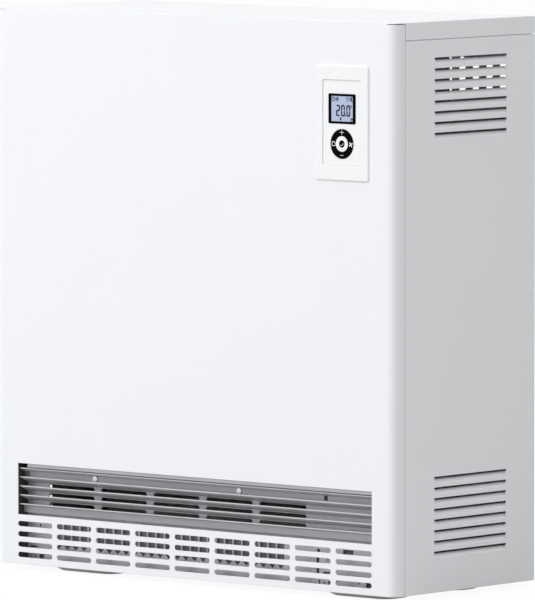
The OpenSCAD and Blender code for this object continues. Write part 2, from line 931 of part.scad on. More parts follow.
// Felt in a shallow frame behind the duct's plate
module lint_filter() {
    width = outlet_w - 2;
    height = filter_high - filter_low;
    mid = zh((filter_high + filter_low) / 2);
    back = duct_y + inner_t + filter_t;
    color("dimgray")
        difference() {
            along_y(duct_y + inner_t, back)
                translate([0, mid])
                    square([width, height], center = true);
            along_y(duct_y + inner_t - cut, back - felt_t)
                translate([0, mid])
                    square([width - 2 * filter_border, height - 2 * filter_border], center = true);
        }
}

// ---------------------------------------------------------------- inner walls and core

module inner_wall_left() {
    color("silver")
        difference() {
            block([core_x0 - inner_t, core_y0, pan_top], [core_x0, core_y1, core_z1]);
            // Upright slot that lets air in from the side cavity
            block([core_x0 - 2 * inner_t, yd(wall_slot_from), pan_top + 12],
                  [core_x0 + inner_t, yd(wall_slot_to), core_z0 - 14]);
        }
}

// Holes for the elements, the sensor and the fan shaft, as seen along X
module service_holes(radius) {
    for (z = element_levels, side = [-1, 1])
        translate([core_mid_y + side * element_half, z])
            circle(r = radius);
    translate([sensor_y, sensor_z])
        circle(r = sensor_r + 0.5);
}

module partition_plate() {
    color("silver")
        difference() {
            block([core_x1, core_y0, pan_top], [core_x1 + inner_t, core_y1, core_z1]);
            along_x(core_x1 - cut, core_x1 + inner_t + cut) {
                service_holes(groove_r);
                translate([axis_y, axis_z])
                    circle(r = motor_hub_r + 1);
            }
        }
}

module inner_wall_front() {
    color("silver")
        block([core_x0 - inner_t, core_y0 - inner_t, core_z0], [core_x1 + inner_t, core_y0, core_z1]);
}

module inner_wall_rear() {
    color("silver")
        block([core_x0 - inner_t, core_y1, pan_top],
              [core_x1 + rear_flange, core_y1 + inner_t, core_z1]);
}

// Plan of the air channels that run through the core
module air_channels() {
    for (x = [store_x0 + brick_w / 2, store_x1 - brick_w / 2], y = channel_ys)
        translate([x, y])
            slot(channel_len, channel_w);
}

module core_floor_plate() {
    color("silver")
        translate([0, 0, core_z0])
            linear_extrude(inner_t)
                difference() {
                    translate([core_x0, core_y0])
                        square([core_x1 - core_x0, core_y1 - core_y0]);
                    air_channels();
                }
}

module core_lid() {
    color("silver")
        block([core_x0 - inner_t, core_y0 - inner_t, core_z1],
              [core_x1 + inner_t, core_y1 + inner_t, core_z1 + inner_t]);
}

module insulation_front() {
    color("linen")
        block([core_x0, core_y0, store_z0], [core_x1, store_y0, store_z1]);
}

module insulation_rear() {
    color("linen")
        block([core_x0, store_y1, store_z0], [core_x1, core_y1, store_z1]);
}

module insulation_left() {
    color("linen")
        block([core_x0, store_y0, store_z0], [store_x0, store_y1, store_z1]);
}

module insulation_right() {
    color("linen")
        difference() {
            block([store_x1, store_y0, store_z0], [core_x1, store_y1, store_z1]);
            along_x(store_x1 - cut, core_x1 + cut)
                service_holes(groove_r);
        }
}

module insulation_top() {
    color("linen")
        block([core_x0, core_y0, store_z1], [core_x1, core_y1, core_z1]);
}

module insulation_bottom() {
    color("linen")
        translate([0, 0, core_z0 + inner_t])
            linear_extrude(board_z)
                difference() {
                    translate([core_x0, core_y0])
                        square([core_x1 - core_x0, core_y1 - core_y0]);
                    air_channels();
                }
}

// One bent heating rod of a radius, its legs ending at x_end
module hairpin(radius, x_end) {
    for (side = [-1, 1])
        translate([0, core_mid_y + side * element_half, 0])
            rod_x(radius, element_turn_x, x_end);
    translate([element_turn_x, core_mid_y, 0])
        rotate([0, 0, 90])
            rotate_extrude(angle = 180)
                translate([element_half, 0])
                    circle(r = radius);
}

// Two layers of two bricks, with a bed for one element between the layers
module brick_stage(stage) {
    low = store_z0 + 2 * (stage - 1) * layer_h;
    color("darkslategray")
        difference() {
            for (x = [store_x0, store_x1 - brick_w], layer = [0, 1])
                block([x, store_y0, low + layer * layer_h],
                      [x + brick_w, store_y1, low + (layer + 1) * layer_h - (layer == 0 ? 0.2 : 0)]);
            translate([0, 0, low + layer_h])
                hairpin(groove_r, store_x1 + cut);
            translate([0, 0, low - cut])
                linear_extrude(2 * layer_h + 2 * cut)
                    air_channels();
        }
}

module heating_elements() {
    color("slategray")
        for (z = element_levels)
            translate([0, 0, z]) {
                hairpin(element_r, part_face + element_tail);
                block([part_face, core_mid_y - element_half - flange_over, -flange_h / 2],
                      [part_face + flange_t, core_mid_y + element_half + flange_over, flange_h / 2]);
                for (side = [-1, 1])
                    translate([0, core_mid_y + side * element_half, 0]) {
                        rod_x(element_r + 1.5, part_face + element_tail - 10, part_face + element_tail);
                        rod_x(2, part_face + element_tail, part_face + element_tail + 12);
                    }
            }
}

module core_sensor() {
    color("gray")
        translate([0, sensor_y, sensor_z]) {
            rod_x(sensor_r, store_x1, part_face);
            block([part_face, -8, -6], [part_face + 9, 8, 6]);
        }
}

// ---------------------------------------------------------------- fan and mixing flap

module scroll_end() {
    difference() {
        translate([axis_y - scroll_r - 2, pan_top])
            square([2 * scroll_r + 4, axis_z + scroll_r + scroll_t - pan_top]);
        translate([axis_y, axis_z])
            children();
    }
}

module fan_housing() {
    color("silver") {
        along_x(scroll_x0, scroll_x0 + scroll_t)
            scroll_end()
                circle(r = bush_r);
        along_x(scroll_x1 - scroll_t, scroll_x1)
            scroll_end()
                circle(r = shaft_r + 3);
        along_x(scroll_x0, scroll_x1) {
            // Curved rear wall
            intersection() {
                translate([axis_y, axis_z])
                    difference() {
                        circle(r = scroll_r + scroll_t);
                        circle(r = scroll_r);
                    }
                translate([axis_y, axis_z - scroll_r - 5])
                    square([scroll_r + 5, 2 * scroll_r + 10]);
            }
            // Roof over the rotor, towards the outlet slots
            translate([scroll_front, axis_z + scroll_r])
                square([axis_y - scroll_front, scroll_t]);
            // Tongue in front of the rotor
            translate([axis_y - scroll_r, axis_z - rotor_r])
                square([scroll_t, rotor_r - 6]);
        }
    }
}

// Radius and angle along a blade, from its root (t = 0) to its tip (t = 1)
function blade_at(t, lead) = let (r = rotor_r - 0.4 - blade_depth * (1 - t), a = 30 * t * t + lead)
    [r * cos(a), r * sin(a)];

module blade_outline() {
    steps = [0 : 0.25 : 1];
    polygon(concat([for (t = steps) blade_at(t, 0)],
                   [for (t = steps) blade_at(1 - t, blade_t / rotor_r * 180 / PI)]));
}

module fan_rotor() {
    hub_r = shaft_r + 4;
    hub_len = 10;
    bay = (rotor_len - disc_t) / rotor_bays;
    color("lightsteelblue")
        translate([0, axis_y, axis_z])
            difference() {
                union() {
                    for (i = [0 : rotor_bays])
                        along_x(fan_x0 + i * bay, fan_x0 + i * bay + disc_t)
                            difference() {
                                circle(r = rotor_r);
                                if (i > 0 && i < rotor_bays)
                                    circle(r = rotor_r - blade_depth - 2);
                            }
                    along_x(fan_x0 + disc_t / 2, fan_x1 - disc_t / 2)
                        for (i = [0 : rotor_blades - 1])
                            rotate(i * 360 / rotor_blades)
                                blade_outline();
                    rod_x(hub_r, fan_x0, fan_x0 + hub_len);
                    rod_x(hub_r, fan_x1 - hub_len, fan_x1);
                }
                rod_x(shaft_r, fan_x0 - cut, fan_x0 + hub_len + cut);
                rod_x(shaft_r, fan_x1 - hub_len - cut, fan_x1 + cut);
            }
}

module fan_shaft() {
    stack0 = motor_x + motor_gap;
    color("gray")
        translate([0, axis_y, axis_z]) {
            rod_x(shaft_r, scroll_x0 - 8, fan_x0 + 10);
            rod_x(shaft_r, fan_x1 - 10, stack0 + motor_stack + motor_gap + 8);
            rod_x(armature_r, stack0 + air_gap, stack0 + motor_stack - air_gap);
        }
}

module fan_bearing() {
    color("dimgray")
        translate([0, axis_y, axis_z])
            difference() {
                union() {
                    rod_x(bush_r, scroll_x0 - 6, scroll_x0 + scroll_t + 1);
                    rod_x(bush_r + 3, scroll_x0 - 2.5, scroll_x0);
                }
                rod_x(shaft_r + run_fit, scroll_x0 - 7, scroll_x0 + scroll_t + 2);
            }
}

module fan_motor() {
    stack0 = motor_x + motor_gap;
    stack1 = stack0 + motor_stack;
    coil = motor_side / 2 - armature_r - 3;
    color("slategray")
        translate([0, axis_y, axis_z])
            difference() {
                union() {
                    along_x(stack0, stack1)
                        round_rect(motor_side, motor_side, 5);
                    // Bearing plates on both sides of the stack
                    for (x = [stack0 - motor_plate_t, stack1])
                        along_x(x, x + motor_plate_t)
                            round_rect(motor_side - 6, motor_plate_h, 4);
                    rod_x(motor_hub_r, motor_x - 2, stack0);
                    rod_x(motor_hub_r, stack1, stack1 + motor_gap);
                    // Coil on the stack's lower side
                    block([stack0 - coil_over, -coil_w / 2, -motor_side / 2 - 4],
                          [stack1 + coil_over, coil_w / 2, -motor_side / 2 + coil]);
                    // Feet against the partition
                    for (side = [-1, 1])
                        translate([0, side * (motor_side / 2 - 6), motor_side / 2 - 6])
                            rod_x(4, motor_x, stack0);
                }
                rod_x(armature_r + air_gap, stack0, stack1);
                rod_x(shaft_r + run_fit, motor_x - 3, stack1 + motor_gap + cut);
            }
}

module mixing_flap() {
    sleeve = flap_r + 1.2;
    color("silver")
        translate([0, flap_axis_y, flap_axis_z])
            difference() {
                union() {
                    rod_x(sleeve, flap_x0, flap_x1);
                    block([flap_x0, flap_r, -flap_t / 2], [flap_x1, flap_w, flap_t / 2]);
                    block([flap_x0, flap_w - flap_t, -6], [flap_x1, flap_w, flap_t / 2]);
                }
                rod_x(flap_r, flap_x0 - cut, flap_x1 + cut);
            }
}

module flap_shaft() {
    color("gray")
        translate([0, flap_axis_y, flap_axis_z]) {
            rod_x(flap_r, flap_x0 - 6, crank_x + 5);
            block([crank_x, -crank_len, -2], [crank_x + crank_t, 4, 3]);
        }
}

module flap_brackets() {
    color("silver")
        for (x = [flap_x0 - 1 - bracket_t, flap_x1 + 1])
            difference() {
                union() {
                    foot_x = x < flap_x0 ? x - bracket_foot : x;
                    block([x, flap_axis_y - bracket_w / 2, flap_axis_z - bracket_low],
                          [x + bracket_t, flap_axis_y + bracket_w / 2, core_z0]);
                    block([foot_x, flap_axis_y - bracket_w / 2, core_z0 - bracket_t],
                          [foot_x + bracket_foot, flap_axis_y + bracket_w / 2, core_z0]);
                }
                translate([0, flap_axis_y, flap_axis_z])
                    rod_x(flap_r + run_fit, x - cut, x + bracket_t + cut);
            }
}

module bimetal_actuator() {
    reach = flap_axis_y - crank_len - 10;
    under = flap_axis_z - 2 - 0.5 - bimetal_t;
    x0 = crank_x - crank_t;
    x1 = crank_x + 2 * crank_t;
    color("peru") {
        block([x0, reach, under], [x1, reach + bimetal_t, core_z0]);
        block([x0, reach, under], [x1, flap_axis_y - 9, under + bimetal_t]);
        block([x0, reach - 10, core_z0 - 2], [x1, reach + bimetal_t, core_z0]);
    }
}

// ---------------------------------------------------------------- switch room

module terminal_block() {
    end_wall = 4;
    len = terminal_ways * terminal_pitch + 2 * end_wall;
    nose = terminal_d * 3 / 2;
    color("ivory")
        translate([part_face, core_mid_y - len / 2, terminal_z])
            difference() {
                union() {
                    cube([terminal_d, len, terminal_h]);
                    translate([0, 0, terminal_h * 0.27])
                        cube([nose, len, terminal_h * 0.46]);
                }
                for (i = [0 : terminal_ways - 1])
                    translate([0, end_wall + (i + 0.5) * terminal_pitch, terminal_h / 2]) {
                        // Opening to the clamp's screw
                        translate([terminal_d * 0.75, 0, 0])
                            rotate([0, 90, 0])
                                cylinder(r = terminal_pitch / 4, h = nose);
                        // Wire entry, from below and above
                        translate([terminal_d * 0.62, 0, -terminal_h])
                            cylinder(r = terminal_pitch / 5, h = 2 * terminal_h);
                    }
            }
}

module charge_controller() {
    low = element_levels[0] + layer_h - control_h / 2;
    slot_w = control_w / 28;
    color("gainsboro")
        difference() {
            union() {
                block([part_face, core_mid_y - control_w / 2, low],
                      [part_face + control_d, core_mid_y + control_w / 2, low + control_h]);
                // Fixing tabs at both ends
                block([part_face, core_mid_y - control_w * 0.57, low + 10],
                      [part_face + 3, core_mid_y + control_w * 0.57, low + 24]);
            }
            // Cooling slots in the cover
            for (i = [-3 : 3])
                translate([0, core_mid_y + 2 * i * slot_w, 0])
                    block([part_face + control_d * 0.8, -slot_w / 2, low + control_h * 0.66],
                          [part_face + control_d + cut, slot_w / 2, low + control_h * 0.9]);
        }
}

module safety_limiter() {
    base_t = limiter_r / 3;
    body_t = limiter_r * 4 / 3;
    color("dimgray")
        translate([part_face, core_mid_y, element_levels[1] + layer_h]) {
            rod_x(limiter_r, 0, base_t);
            rod_x(limiter_r - 2, base_t, body_t);
            block([0, -limiter_r - 8, -5], [1.5, limiter_r + 8, 5]);
            for (side = [-1, 1])
                block([body_t, side * 5 - 3, -0.4], [body_t + 10, side * 5 + 3, 0.4]);
        }
}

// ---------------------------------------------------------------- room controller

// Children drawn round the controller's middle, in a slice of depth
module ctrl_slice(d0, d1) {
    along_y(d0, d1)
        translate([ctrl_x, ctrl_mid])
            children();
}

module controller_frame() {
    color("white")
        difference() {
            hull()
                for (a = [0, 30, 60, 90]) {
                    inset = frame_round * (1 - cos(a));
                    ctrl_slice(-ctrl_proud + frame_round * (1 - sin(a)), 0)
                        round_rect(ctrl_w - 2 * inset, ctrl_h - 2 * inset, ctrl_r);
                }
            ctrl_slice(-ctrl_proud - cut, cut)
                round_rect(face_w, face_h, face_r);
            // Sloped edge round the recess
            hull() {
                ctrl_slice(-ctrl_proud - cut, -ctrl_proud)
                    round_rect(face_w + 2 * recess_chamfer, face_h + 2 * recess_chamfer,
                               face_r + recess_chamfer);
                ctrl_slice(-ctrl_proud, -ctrl_proud + recess_chamfer)
                    round_rect(face_w, face_h, face_r);
            }
        }
}

module controller_face() {
    color("white")
        difference() {
            ctrl_slice(face_y, face_y + face_t)
                round_rect(face_w - 2 * face_gap, face_h - 2 * face_gap, face_r);
            ctrl_slice(face_y - cut, bezel_y + bezel_t)
                translate([0, bezel_z])
                    round_rect(bezel_w, bezel_h, bezel_r);
            ctrl_slice(face_y - cut, face_y + face_t + cut) {
                translate([0, bezel_z])
                    square([bezel_w - 2 * ledge, bezel_h - 2 * ledge], center = true);
                translate([0, -ring_down])
                    circle(r = ring_r + key_fit);
            }
        }
}

module display_surround() {
    color("black")
        ctrl_slice(bezel_y, bezel_y + bezel_t)
            translate([0, bezel_z])
                difference() {
                    round_rect(bezel_w, bezel_h, bezel_r);
                    square([lcd_w, lcd_h], center = true);
                }
}

module display_glass() {
    color("lightsteelblue")
        ctrl_slice(bezel_y + bezel_t - glass_t, bezel_y + bezel_t)
            translate([0, bezel_z])
                square([lcd_w, lcd_h], center = true);
}

module display_module() {
    color("gray")
        ctrl_slice(bezel_y + bezel_t, pcb_y)
            translate([0, bezel_z])
                square([bezel_w - 2 * ledge - 0.2, bezel_h - 2 * ledge - 0.2], center = true);
}

// Middles of the five keys round the ring's middle: right, up, left, down and the centre
function key_place(i) = i == 4 ? [0, 0] : key_mid_r * [cos(90 * i), sin(90 * i)];

module controller_board() {
    color("seagreen") {
        ctrl_slice(pcb_y, pcb_y + pcb_t)
            square([house_w - 2 * ctrl_wall - 1, house_h - 2 * ctrl_wall - 1], center = true);
        ctrl_slice(pcb_y - switch_t, pcb_y)
            for (i = [0 : 4])
                translate([0, -ring_down] + key_place(i))
                    square(6, center = true);
    }
}

module controller_housing() {
    color("whitesmoke") {
        difference() {
            ctrl_slice(0, ctrl_depth)
                round_rect(house_w, house_h, face_r);
            ctrl_slice(-cut, face_y + face_t)
                round_rect(face_w, face_h, face_r);
            ctrl_slice(-cut, face_y + face_t + lip_t + cut)
                square([face_w - 2 * lip_in, face_h - 2 * lip_in], center = true);
            ctrl_slice(face_y + face_t + lip_t, ctrl_depth - ctrl_wall)
                square([house_w - 2 * ctrl_wall, house_h - 2 * ctrl_wall], center = true);
        }
        ctrl_slice(pcb_y + pcb_t, ctrl_depth - ctrl_wall)
            for (x = [-1, 1], z = [-1, 1])
                translate([x * (house_w / 2 - 8), z * (house_h / 2 - 8)])
                    circle(r = post_r);
    }
}

// A key of the ring; 0 points right and each step turns a quarter
module ring_key(step) {
    reach = 2 * ring_r;
    half_gap = key_fit / sqrt(2);
    color("black")
        ctrl_slice(key_y, face_y + face_t + 0.6)
            translate([0, -ring_down])
                rotate(step * 90)
                    intersection() {
                        difference() {
                            circle(r = ring_r);
                            circle(r = ok_r);
                        }
                        translate([half_gap, 0])
                            polygon([[0, 0], [reach, reach], [reach, -reach]]);
                    }
    key_stem(step);
}

module key_stem(i) {
    color("black")
        ctrl_slice(face_y + face_t + 0.6, stem_end)
            translate([0, -ring_down] + key_place(i))
                circle(r = stem_r);
}

module key_ok() {
    color("white") {
        ctrl_slice(key_y, face_y + face_t + 0.6)
            translate([0, -ring_down])
                circle(r = ok_r - key_fit);
    }
    key_stem(4);
}

base_pan();
feet_row(foot_front);  // front_feet
feet_row(foot_back);  // rear_feet
rear_panel();
mirror([1, 0, 0]) side_panel();  // side_panel_left
side_panel();  // side_panel_right
top_cover();
front_panel();
cable_grommet();
lid_screws();
foot_screws();
outlet_slats();
grille_bottom_rail();
grille_mount_rail();
duct_screws();
duct_side_cheeks();
duct_front_plate();
lint_filter();
inner_wall_left();
partition_plate();
inner_wall_front();
inner_wall_rear();
core_floor_plate();
core_lid();
insulation_front();
insulation_rear();
insulation_left();
insulation_right();
insulation_top();
insulation_bottom();
brick_stage(1);  // brick_stage_1
brick_stage(2);  // brick_stage_2
brick_stage(3);  // brick_stage_3
heating_elements();
fan_housing();
fan_rotor();
fan_shaft();
fan_bearing();
fan_motor();
mixing_flap();
flap_shaft();
flap_brackets();
bimetal_actuator();
terminal_block();
charge_controller();
safety_limiter();
core_sensor();
controller_frame();
controller_face();
display_surround();
display_glass();
display_module();
controller_board();
controller_housing();
ring_key(1);  // key_up
ring_key(3);  // key_down
ring_key(2);  // key_left
ring_key(0);  // key_right
key_ok();
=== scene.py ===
"""Looks for a floor-standing storage heater: finishes, display marks, key marks, light and camera.

Lengths are in metres in the part's own frame: +Z up, the front faces -Y, +X is to the right.
The grain of the finishes and the outlines of the marks are given in millimetres.
"""

import math

import bmesh
import bpy
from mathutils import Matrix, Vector


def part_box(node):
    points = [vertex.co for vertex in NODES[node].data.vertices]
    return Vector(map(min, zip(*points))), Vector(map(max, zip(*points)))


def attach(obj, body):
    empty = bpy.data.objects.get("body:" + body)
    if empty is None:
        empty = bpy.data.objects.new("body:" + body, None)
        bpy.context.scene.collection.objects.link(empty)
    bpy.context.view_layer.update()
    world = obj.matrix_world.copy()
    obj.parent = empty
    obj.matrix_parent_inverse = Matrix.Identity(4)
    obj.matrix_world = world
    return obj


bl_info = {
    "name": "Storage Heater Looks",
    "version": (1, 0, 0),
    "blender": (4, 5, 0),
    "location": "3D View > Sidebar > Heater",
    "description": "Finishes, display marks and a studio for a storage heater",
    "category": "Object",
}

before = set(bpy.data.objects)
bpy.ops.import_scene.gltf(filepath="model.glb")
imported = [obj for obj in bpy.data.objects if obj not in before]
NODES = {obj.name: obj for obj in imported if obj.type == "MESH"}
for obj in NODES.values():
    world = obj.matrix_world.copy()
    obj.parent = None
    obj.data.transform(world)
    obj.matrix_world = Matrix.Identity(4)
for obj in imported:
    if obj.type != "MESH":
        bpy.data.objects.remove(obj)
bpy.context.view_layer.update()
MM = 0.001


# ---------------------------------------------------------------- properties

class HeaterFinish(bpy.types.PropertyGroup):
    """Colours and grain of the heater's surfaces."""

    paint: bpy.props.FloatVectorProperty(
        name="Paint", description="Powder coat of the casing",
        default=(0.855, 0.865, 0.885), subtype="COLOR", min=0, max=1)
    paint_roughness: bpy.props.FloatProperty(
        name="Paint Roughness", description="How matt the powder coat is",
        default=0.5, min=0, max=1, subtype="FACTOR")
    peel: bpy.props.FloatProperty(
        name="Orange Peel", description="Spacing of the ripples in the powder coat",
        default=0.0022, min=0.0005, max=0.01, unit="LENGTH")
    zinc: bpy.props.FloatVectorProperty(
        name="Zinc", description="Galvanised sheet of the inner parts",
        default=(0.55, 0.555, 0.575), subtype="COLOR", min=0, max=1)
    slats: bpy.props.FloatVectorProperty(
        name="Slats", description="Satin metal of the outlet slats",
        default=(0.60, 0.605, 0.62), subtype="COLOR", min=0, max=1)
    # Near-black colour that paints the shade inside both ends of the outlet, on the end cheeks.
    cheeks: bpy.props.FloatVectorProperty(
        name="Cheeks", description="Dark sheet at both ends of the outlet",
        default=(0.035, 0.035, 0.037), subtype="COLOR", min=0, max=1)
    brick: bpy.props.FloatVectorProperty(
        name="Brick", description="Fired storage bricks",
        default=(0.11, 0.085, 0.07), subtype="COLOR", min=0, max=1)
    board: bpy.props.FloatVectorProperty(
        name="Insulation", description="Pressed insulating board",
        default=(0.64, 0.60, 0.50), subtype="COLOR", min=0, max=1)


class HeaterController(bpy.types.PropertyGroup):
    """Colours and sizes of the room controller."""

    plastic: bpy.props.FloatVectorProperty(
        name="Plastic", description="White moulding of the controller",
        default=(0.87, 0.875, 0.885), subtype="COLOR", min=0, max=1)
    gloss_black: bpy.props.FloatVectorProperty(
        name="Black", description="Display surround and key ring",
        default=(0.002, 0.002, 0.0025), subtype="COLOR", min=0, max=1)
    display: bpy.props.FloatVectorProperty(
        name="Display", description="Lit background of the display",
        default=(0.425, 0.50, 0.69), subtype="COLOR", min=0, max=1)
    ink: bpy.props.FloatVectorProperty(
        name="Display Ink", description="Dark segments of the display",
        default=(0.008, 0.014, 0.035), subtype="COLOR", min=0, max=1)
    digit_height: bpy.props.FloatProperty(
        name="Digit Height", description="Height of the large digits",
        default=0.0132, min=0.006, max=0.016, unit="LENGTH")
    stroke: bpy.props.FloatProperty(
        name="Segment Width", description="Width of a digit's segments",
        default=0.0020, min=0.0006, max=0.0025, unit="LENGTH")
    reading: bpy.props.StringProperty(
        name="Reading", description="Room temperature that the display shows", default="20.0")


class HeaterStage(bpy.types.PropertyGroup):
    """Camera, lamps and sky."""

    camera: bpy.props.FloatVectorProperty(
        name="Camera", description="Place of the camera",
        default=(7.057, -8.2466, 1.1528), subtype="TRANSLATION", unit="LENGTH")
    yaw: bpy.props.FloatProperty(
        name="Yaw", description="Turn of the camera about the upright axis",
        default=math.radians(40.526), subtype="ANGLE", unit="ROTATION")
    pitch: bpy.props.FloatProperty(
        name="Pitch", description="How far the camera looks down",
        default=math.radians(4.3798), subtype="ANGLE", unit="ROTATION")
    lens: bpy.props.FloatProperty(
        name="Lens", description="Focal length on a 36 mm frame, in millimetres",
        default=565.16, min=50, max=900)
    horizon: bpy.props.FloatProperty(
        name="Horizon", description="Strength of the sky's light at the horizon",
        default=0.156, min=0, max=2)
    zenith: bpy.props.FloatProperty(
        name="Zenith", description="Strength of the sky's light straight above",
        default=0.826, min=0, max=2)
    key: bpy.props.FloatProperty(
        name="Key Lamp", description="Power of the large lamp in front",
        default=366.0, min=0, max=1000, unit="POWER")
    fill: bpy.props.FloatProperty(
        name="Fill Lamp", description="Power of the high lamp on the right",
        default=68.0, min=0, max=1000, unit="POWER")


# ---------------------------------------------------------------- node trees

# Sockets of a Mix node set to colours; it has others of the same names
MIX_MASK, MIX_FIRST, MIX_SECOND, MIX_RESULT = 0, 6, 7, 2


def new_node(tree, kind, x, y, **values):
    """Adds a node, places it and sets its attributes."""
    node = tree.nodes.new(kind)
    node.location = (x, y)
    for name, value in values.items():
        setattr(node, name, value)
    return node


def feed(tree, socket, value):
    """Gives an input a socket to follow or a plain value."""
    if isinstance(value, bpy.types.NodeSocket):
        tree.links.new(value, socket)
    else:
        socket.default_value = value


def new_group(name, inputs, outputs):
    """An empty shader node group with float inputs {name: default} and outputs [(name, type)]."""
    group = bpy.data.node_groups.new(name, "ShaderNodeTree")
    for label, default in inputs.items():
        socket = group.interface.new_socket(label, in_out="INPUT", socket_type="NodeSocketFloat")
        socket.default_value = default
    for label, kind in outputs:
        group.interface.new_socket(label, in_out="OUTPUT", socket_type=kind)
    source = new_node(group, "NodeGroupInput", -900, 0)
    sink = new_node(group, "NodeGroupOutput", 700, 0)
    return group, source, sink


def math_node(tree, operation, x, y, first, second, clamp=False):
    """A Math node whose inputs are sockets or plain numbers."""
    node = new_node(tree, "ShaderNodeMath", x, y, operation=operation, use_clamp=clamp)
    feed(tree, node.inputs[0], first)
    feed(tree, node.inputs[1], second)
    return node.outputs[0]


def per_metre(tree, x, y, length):
    """How many times a length fits in a metre, which is the scale of a texture."""
    return math_node(tree, "DIVIDE", x, y, 1.0, length)


def own_place(tree):
    """Each point's place in the object's own metres."""
    return new_node(tree, "ShaderNodeTexCoord", -900, 250).outputs["Object"]


def noise_node(tree, x, y, scale, vector, detail=2.0):
    """A noise texture; scale is a number or a socket."""
    node = new_node(tree, "ShaderNodeTexNoise", x, y)
    node.inputs["Detail"].default_value = detail
    feed(tree, node.inputs["Vector"], vector)
    feed(tree, node.inputs["Scale"], scale)
    return node.outputs["Fac"]


def grain_group():
    """Fine ripples and a slow cloudiness: orange peel, moulded plastic, pressed board."""
    group, source, sink = new_group(
        "surface_grain", {"Pitch": 0.002, "Cloud Pitch": 0.12},
        [("Height", "NodeSocketFloat"), ("Cloud", "NodeSocketFloat")])
    place = own_place(group)
    for pitch, effect, y in (("Pitch", "Height", 150), ("Cloud Pitch", "Cloud", -150)):
        scale = per_metre(group, -650, y, source.outputs[pitch])
        group.links.new(noise_node(group, -350, y, scale, place), sink.inputs[effect])
    return group


def edge_group():
    """Rounds the shading of sharp sheet edges and gives a mask of where they are."""
    group, source, sink = new_group(
        "sheet_edge", {"Radius": 0.0006, "Gain": 2.0},
        [("Normal", "NodeSocketVector"), ("Edge", "NodeSocketFloat")])
    bevel = new_node(group, "ShaderNodeBevel", -500, 100, samples=6)
    group.links.new(source.outputs["Radius"], bevel.inputs["Radius"])
    flat = new_node(group, "ShaderNodeNewGeometry", -500, -150).outputs["True Normal"]
    dot = new_node(group, "ShaderNodeVectorMath", -250, 0, operation="DOT_PRODUCT")
    group.links.new(bevel.outputs["Normal"], dot.inputs[0])
    group.links.new(flat, dot.inputs[1])
    away = math_node(group, "SUBTRACT", 0, 0, 1.0, dot.outputs["Value"], clamp=True)
    edge = math_node(group, "MULTIPLY", 250, 0, away, source.outputs["Gain"], clamp=True)
    group.links.new(bevel.outputs["Normal"], sink.inputs["Normal"])
    group.links.new(edge, sink.inputs["Edge"])
    return group


def brushed_group():
    """Long streaks along X for rolled and brushed metal, over wide soft patches."""
    wide_scale, streak_share, wide_share = 14.0, 0.6, 0.4
    group, source, sink = new_group(
        "brushed_streaks", {"Pitch": 0.0008, "Stretch": 60.0},
        [("Height", "NodeSocketFloat"), ("Tone", "NodeSocketFloat")])
    place = own_place(group)
    squeeze = math_node(group, "DIVIDE", -700, 50, 1.0, source.outputs["Stretch"])
    scale = new_node(group, "ShaderNodeCombineXYZ", -500, 50)
    scale.inputs["Y"].default_value = 1.0
    scale.inputs["Z"].default_value = 1.0
    group.links.new(squeeze, scale.inputs["X"])
    stretched = new_node(group, "ShaderNodeVectorMath", -300, 150, operation="MULTIPLY")
    group.links.new(place, stretched.inputs[0])
    group.links.new(scale.outputs[0], stretched.inputs[1])
    density = per_metre(group, -500, -150, source.outputs["Pitch"])
    streak = noise_node(group, -50, 100, density, stretched.outputs[0])
    wide = noise_node(group, -50, -150, wide_scale, place)
    tone = math_node(group, "ADD", 350, 0,
                     math_node(group, "MULTIPLY", 150, 60, streak, streak_share),
                     math_node(group, "MULTIPLY", 150, -60, wide, wide_share))
    group.links.new(streak, sink.inputs["Height"])
    group.links.new(tone, sink.inputs["Tone"])
    return group


def spangle_group():
    """The faint crystal patches of hot-dipped zinc, with a fine even roughness."""
    fine_scale = 1200.0
    group, source, sink = new_group(
        "zinc_spangle", {"Patch": 0.006},
        [("Tone", "NodeSocketFloat"), ("Height", "NodeSocketFloat")])
    place = own_place(group)
    cells = new_node(group, "ShaderNodeTexVoronoi", -350, 100)
    group.links.new(place, cells.inputs["Vector"])
    group.links.new(per_metre(group, -650, 0, source.outputs["Patch"]), cells.inputs["Scale"])
    tone = new_node(group, "ShaderNodeSeparateColor", -100, 100)
    group.links.new(cells.outputs["Color"], tone.inputs["Color"])
    group.links.new(tone.outputs[0], sink.inputs["Tone"])
    group.links.new(noise_node(group, -350, -150, fine_scale, place), sink.inputs["Height"])
    return group


def dust_group():
    """Fine dust that settles in patches on faces that look up."""
    patch_scale, patch_detail = 35.0, 4.0
    group, source, sink = new_group(
        "settled_dust", {"Amount": 0.3}, [("Mask", "NodeSocketFloat")])
    normal = new_node(group, "ShaderNodeNewGeometry", -700, 100).outputs["Normal"]
    split = new_node(group, "ShaderNodeSeparateXYZ", -500, 100)
    group.links.new(normal, split.inputs[0])
    upward = math_node(group, "MAXIMUM", -300, 100, split.outputs["Z"], 0.0)
    patch = noise_node(group, -300, -200, patch_scale, own_place(group), patch_detail)
    shade = math_node(group, "MULTIPLY", 0, 0, upward, patch)
    mask = math_node(group, "MULTIPLY", 250, 0, shade, source.outputs["Amount"], clamp=True)
    group.links.new(mask, sink.inputs["Mask"])
    return group


MAKERS = {"grain": grain_group, "edge": edge_group, "brushed": brushed_group,
          "spangle": spangle_group, "dust": dust_group}
GROUPS = {}


def place_group(tree, name, x, y, **values):
    """Places a shared group, built at its first use, in a material with its own values."""
    if name not in GROUPS:
        GROUPS[name] = MAKERS[name]()
    node = new_node(tree, "ShaderNodeGroup", x, y, node_tree=GROUPS[name])
    for label, value in values.items():
        node.inputs[label.replace("_", " ")].default_value = value
    return node


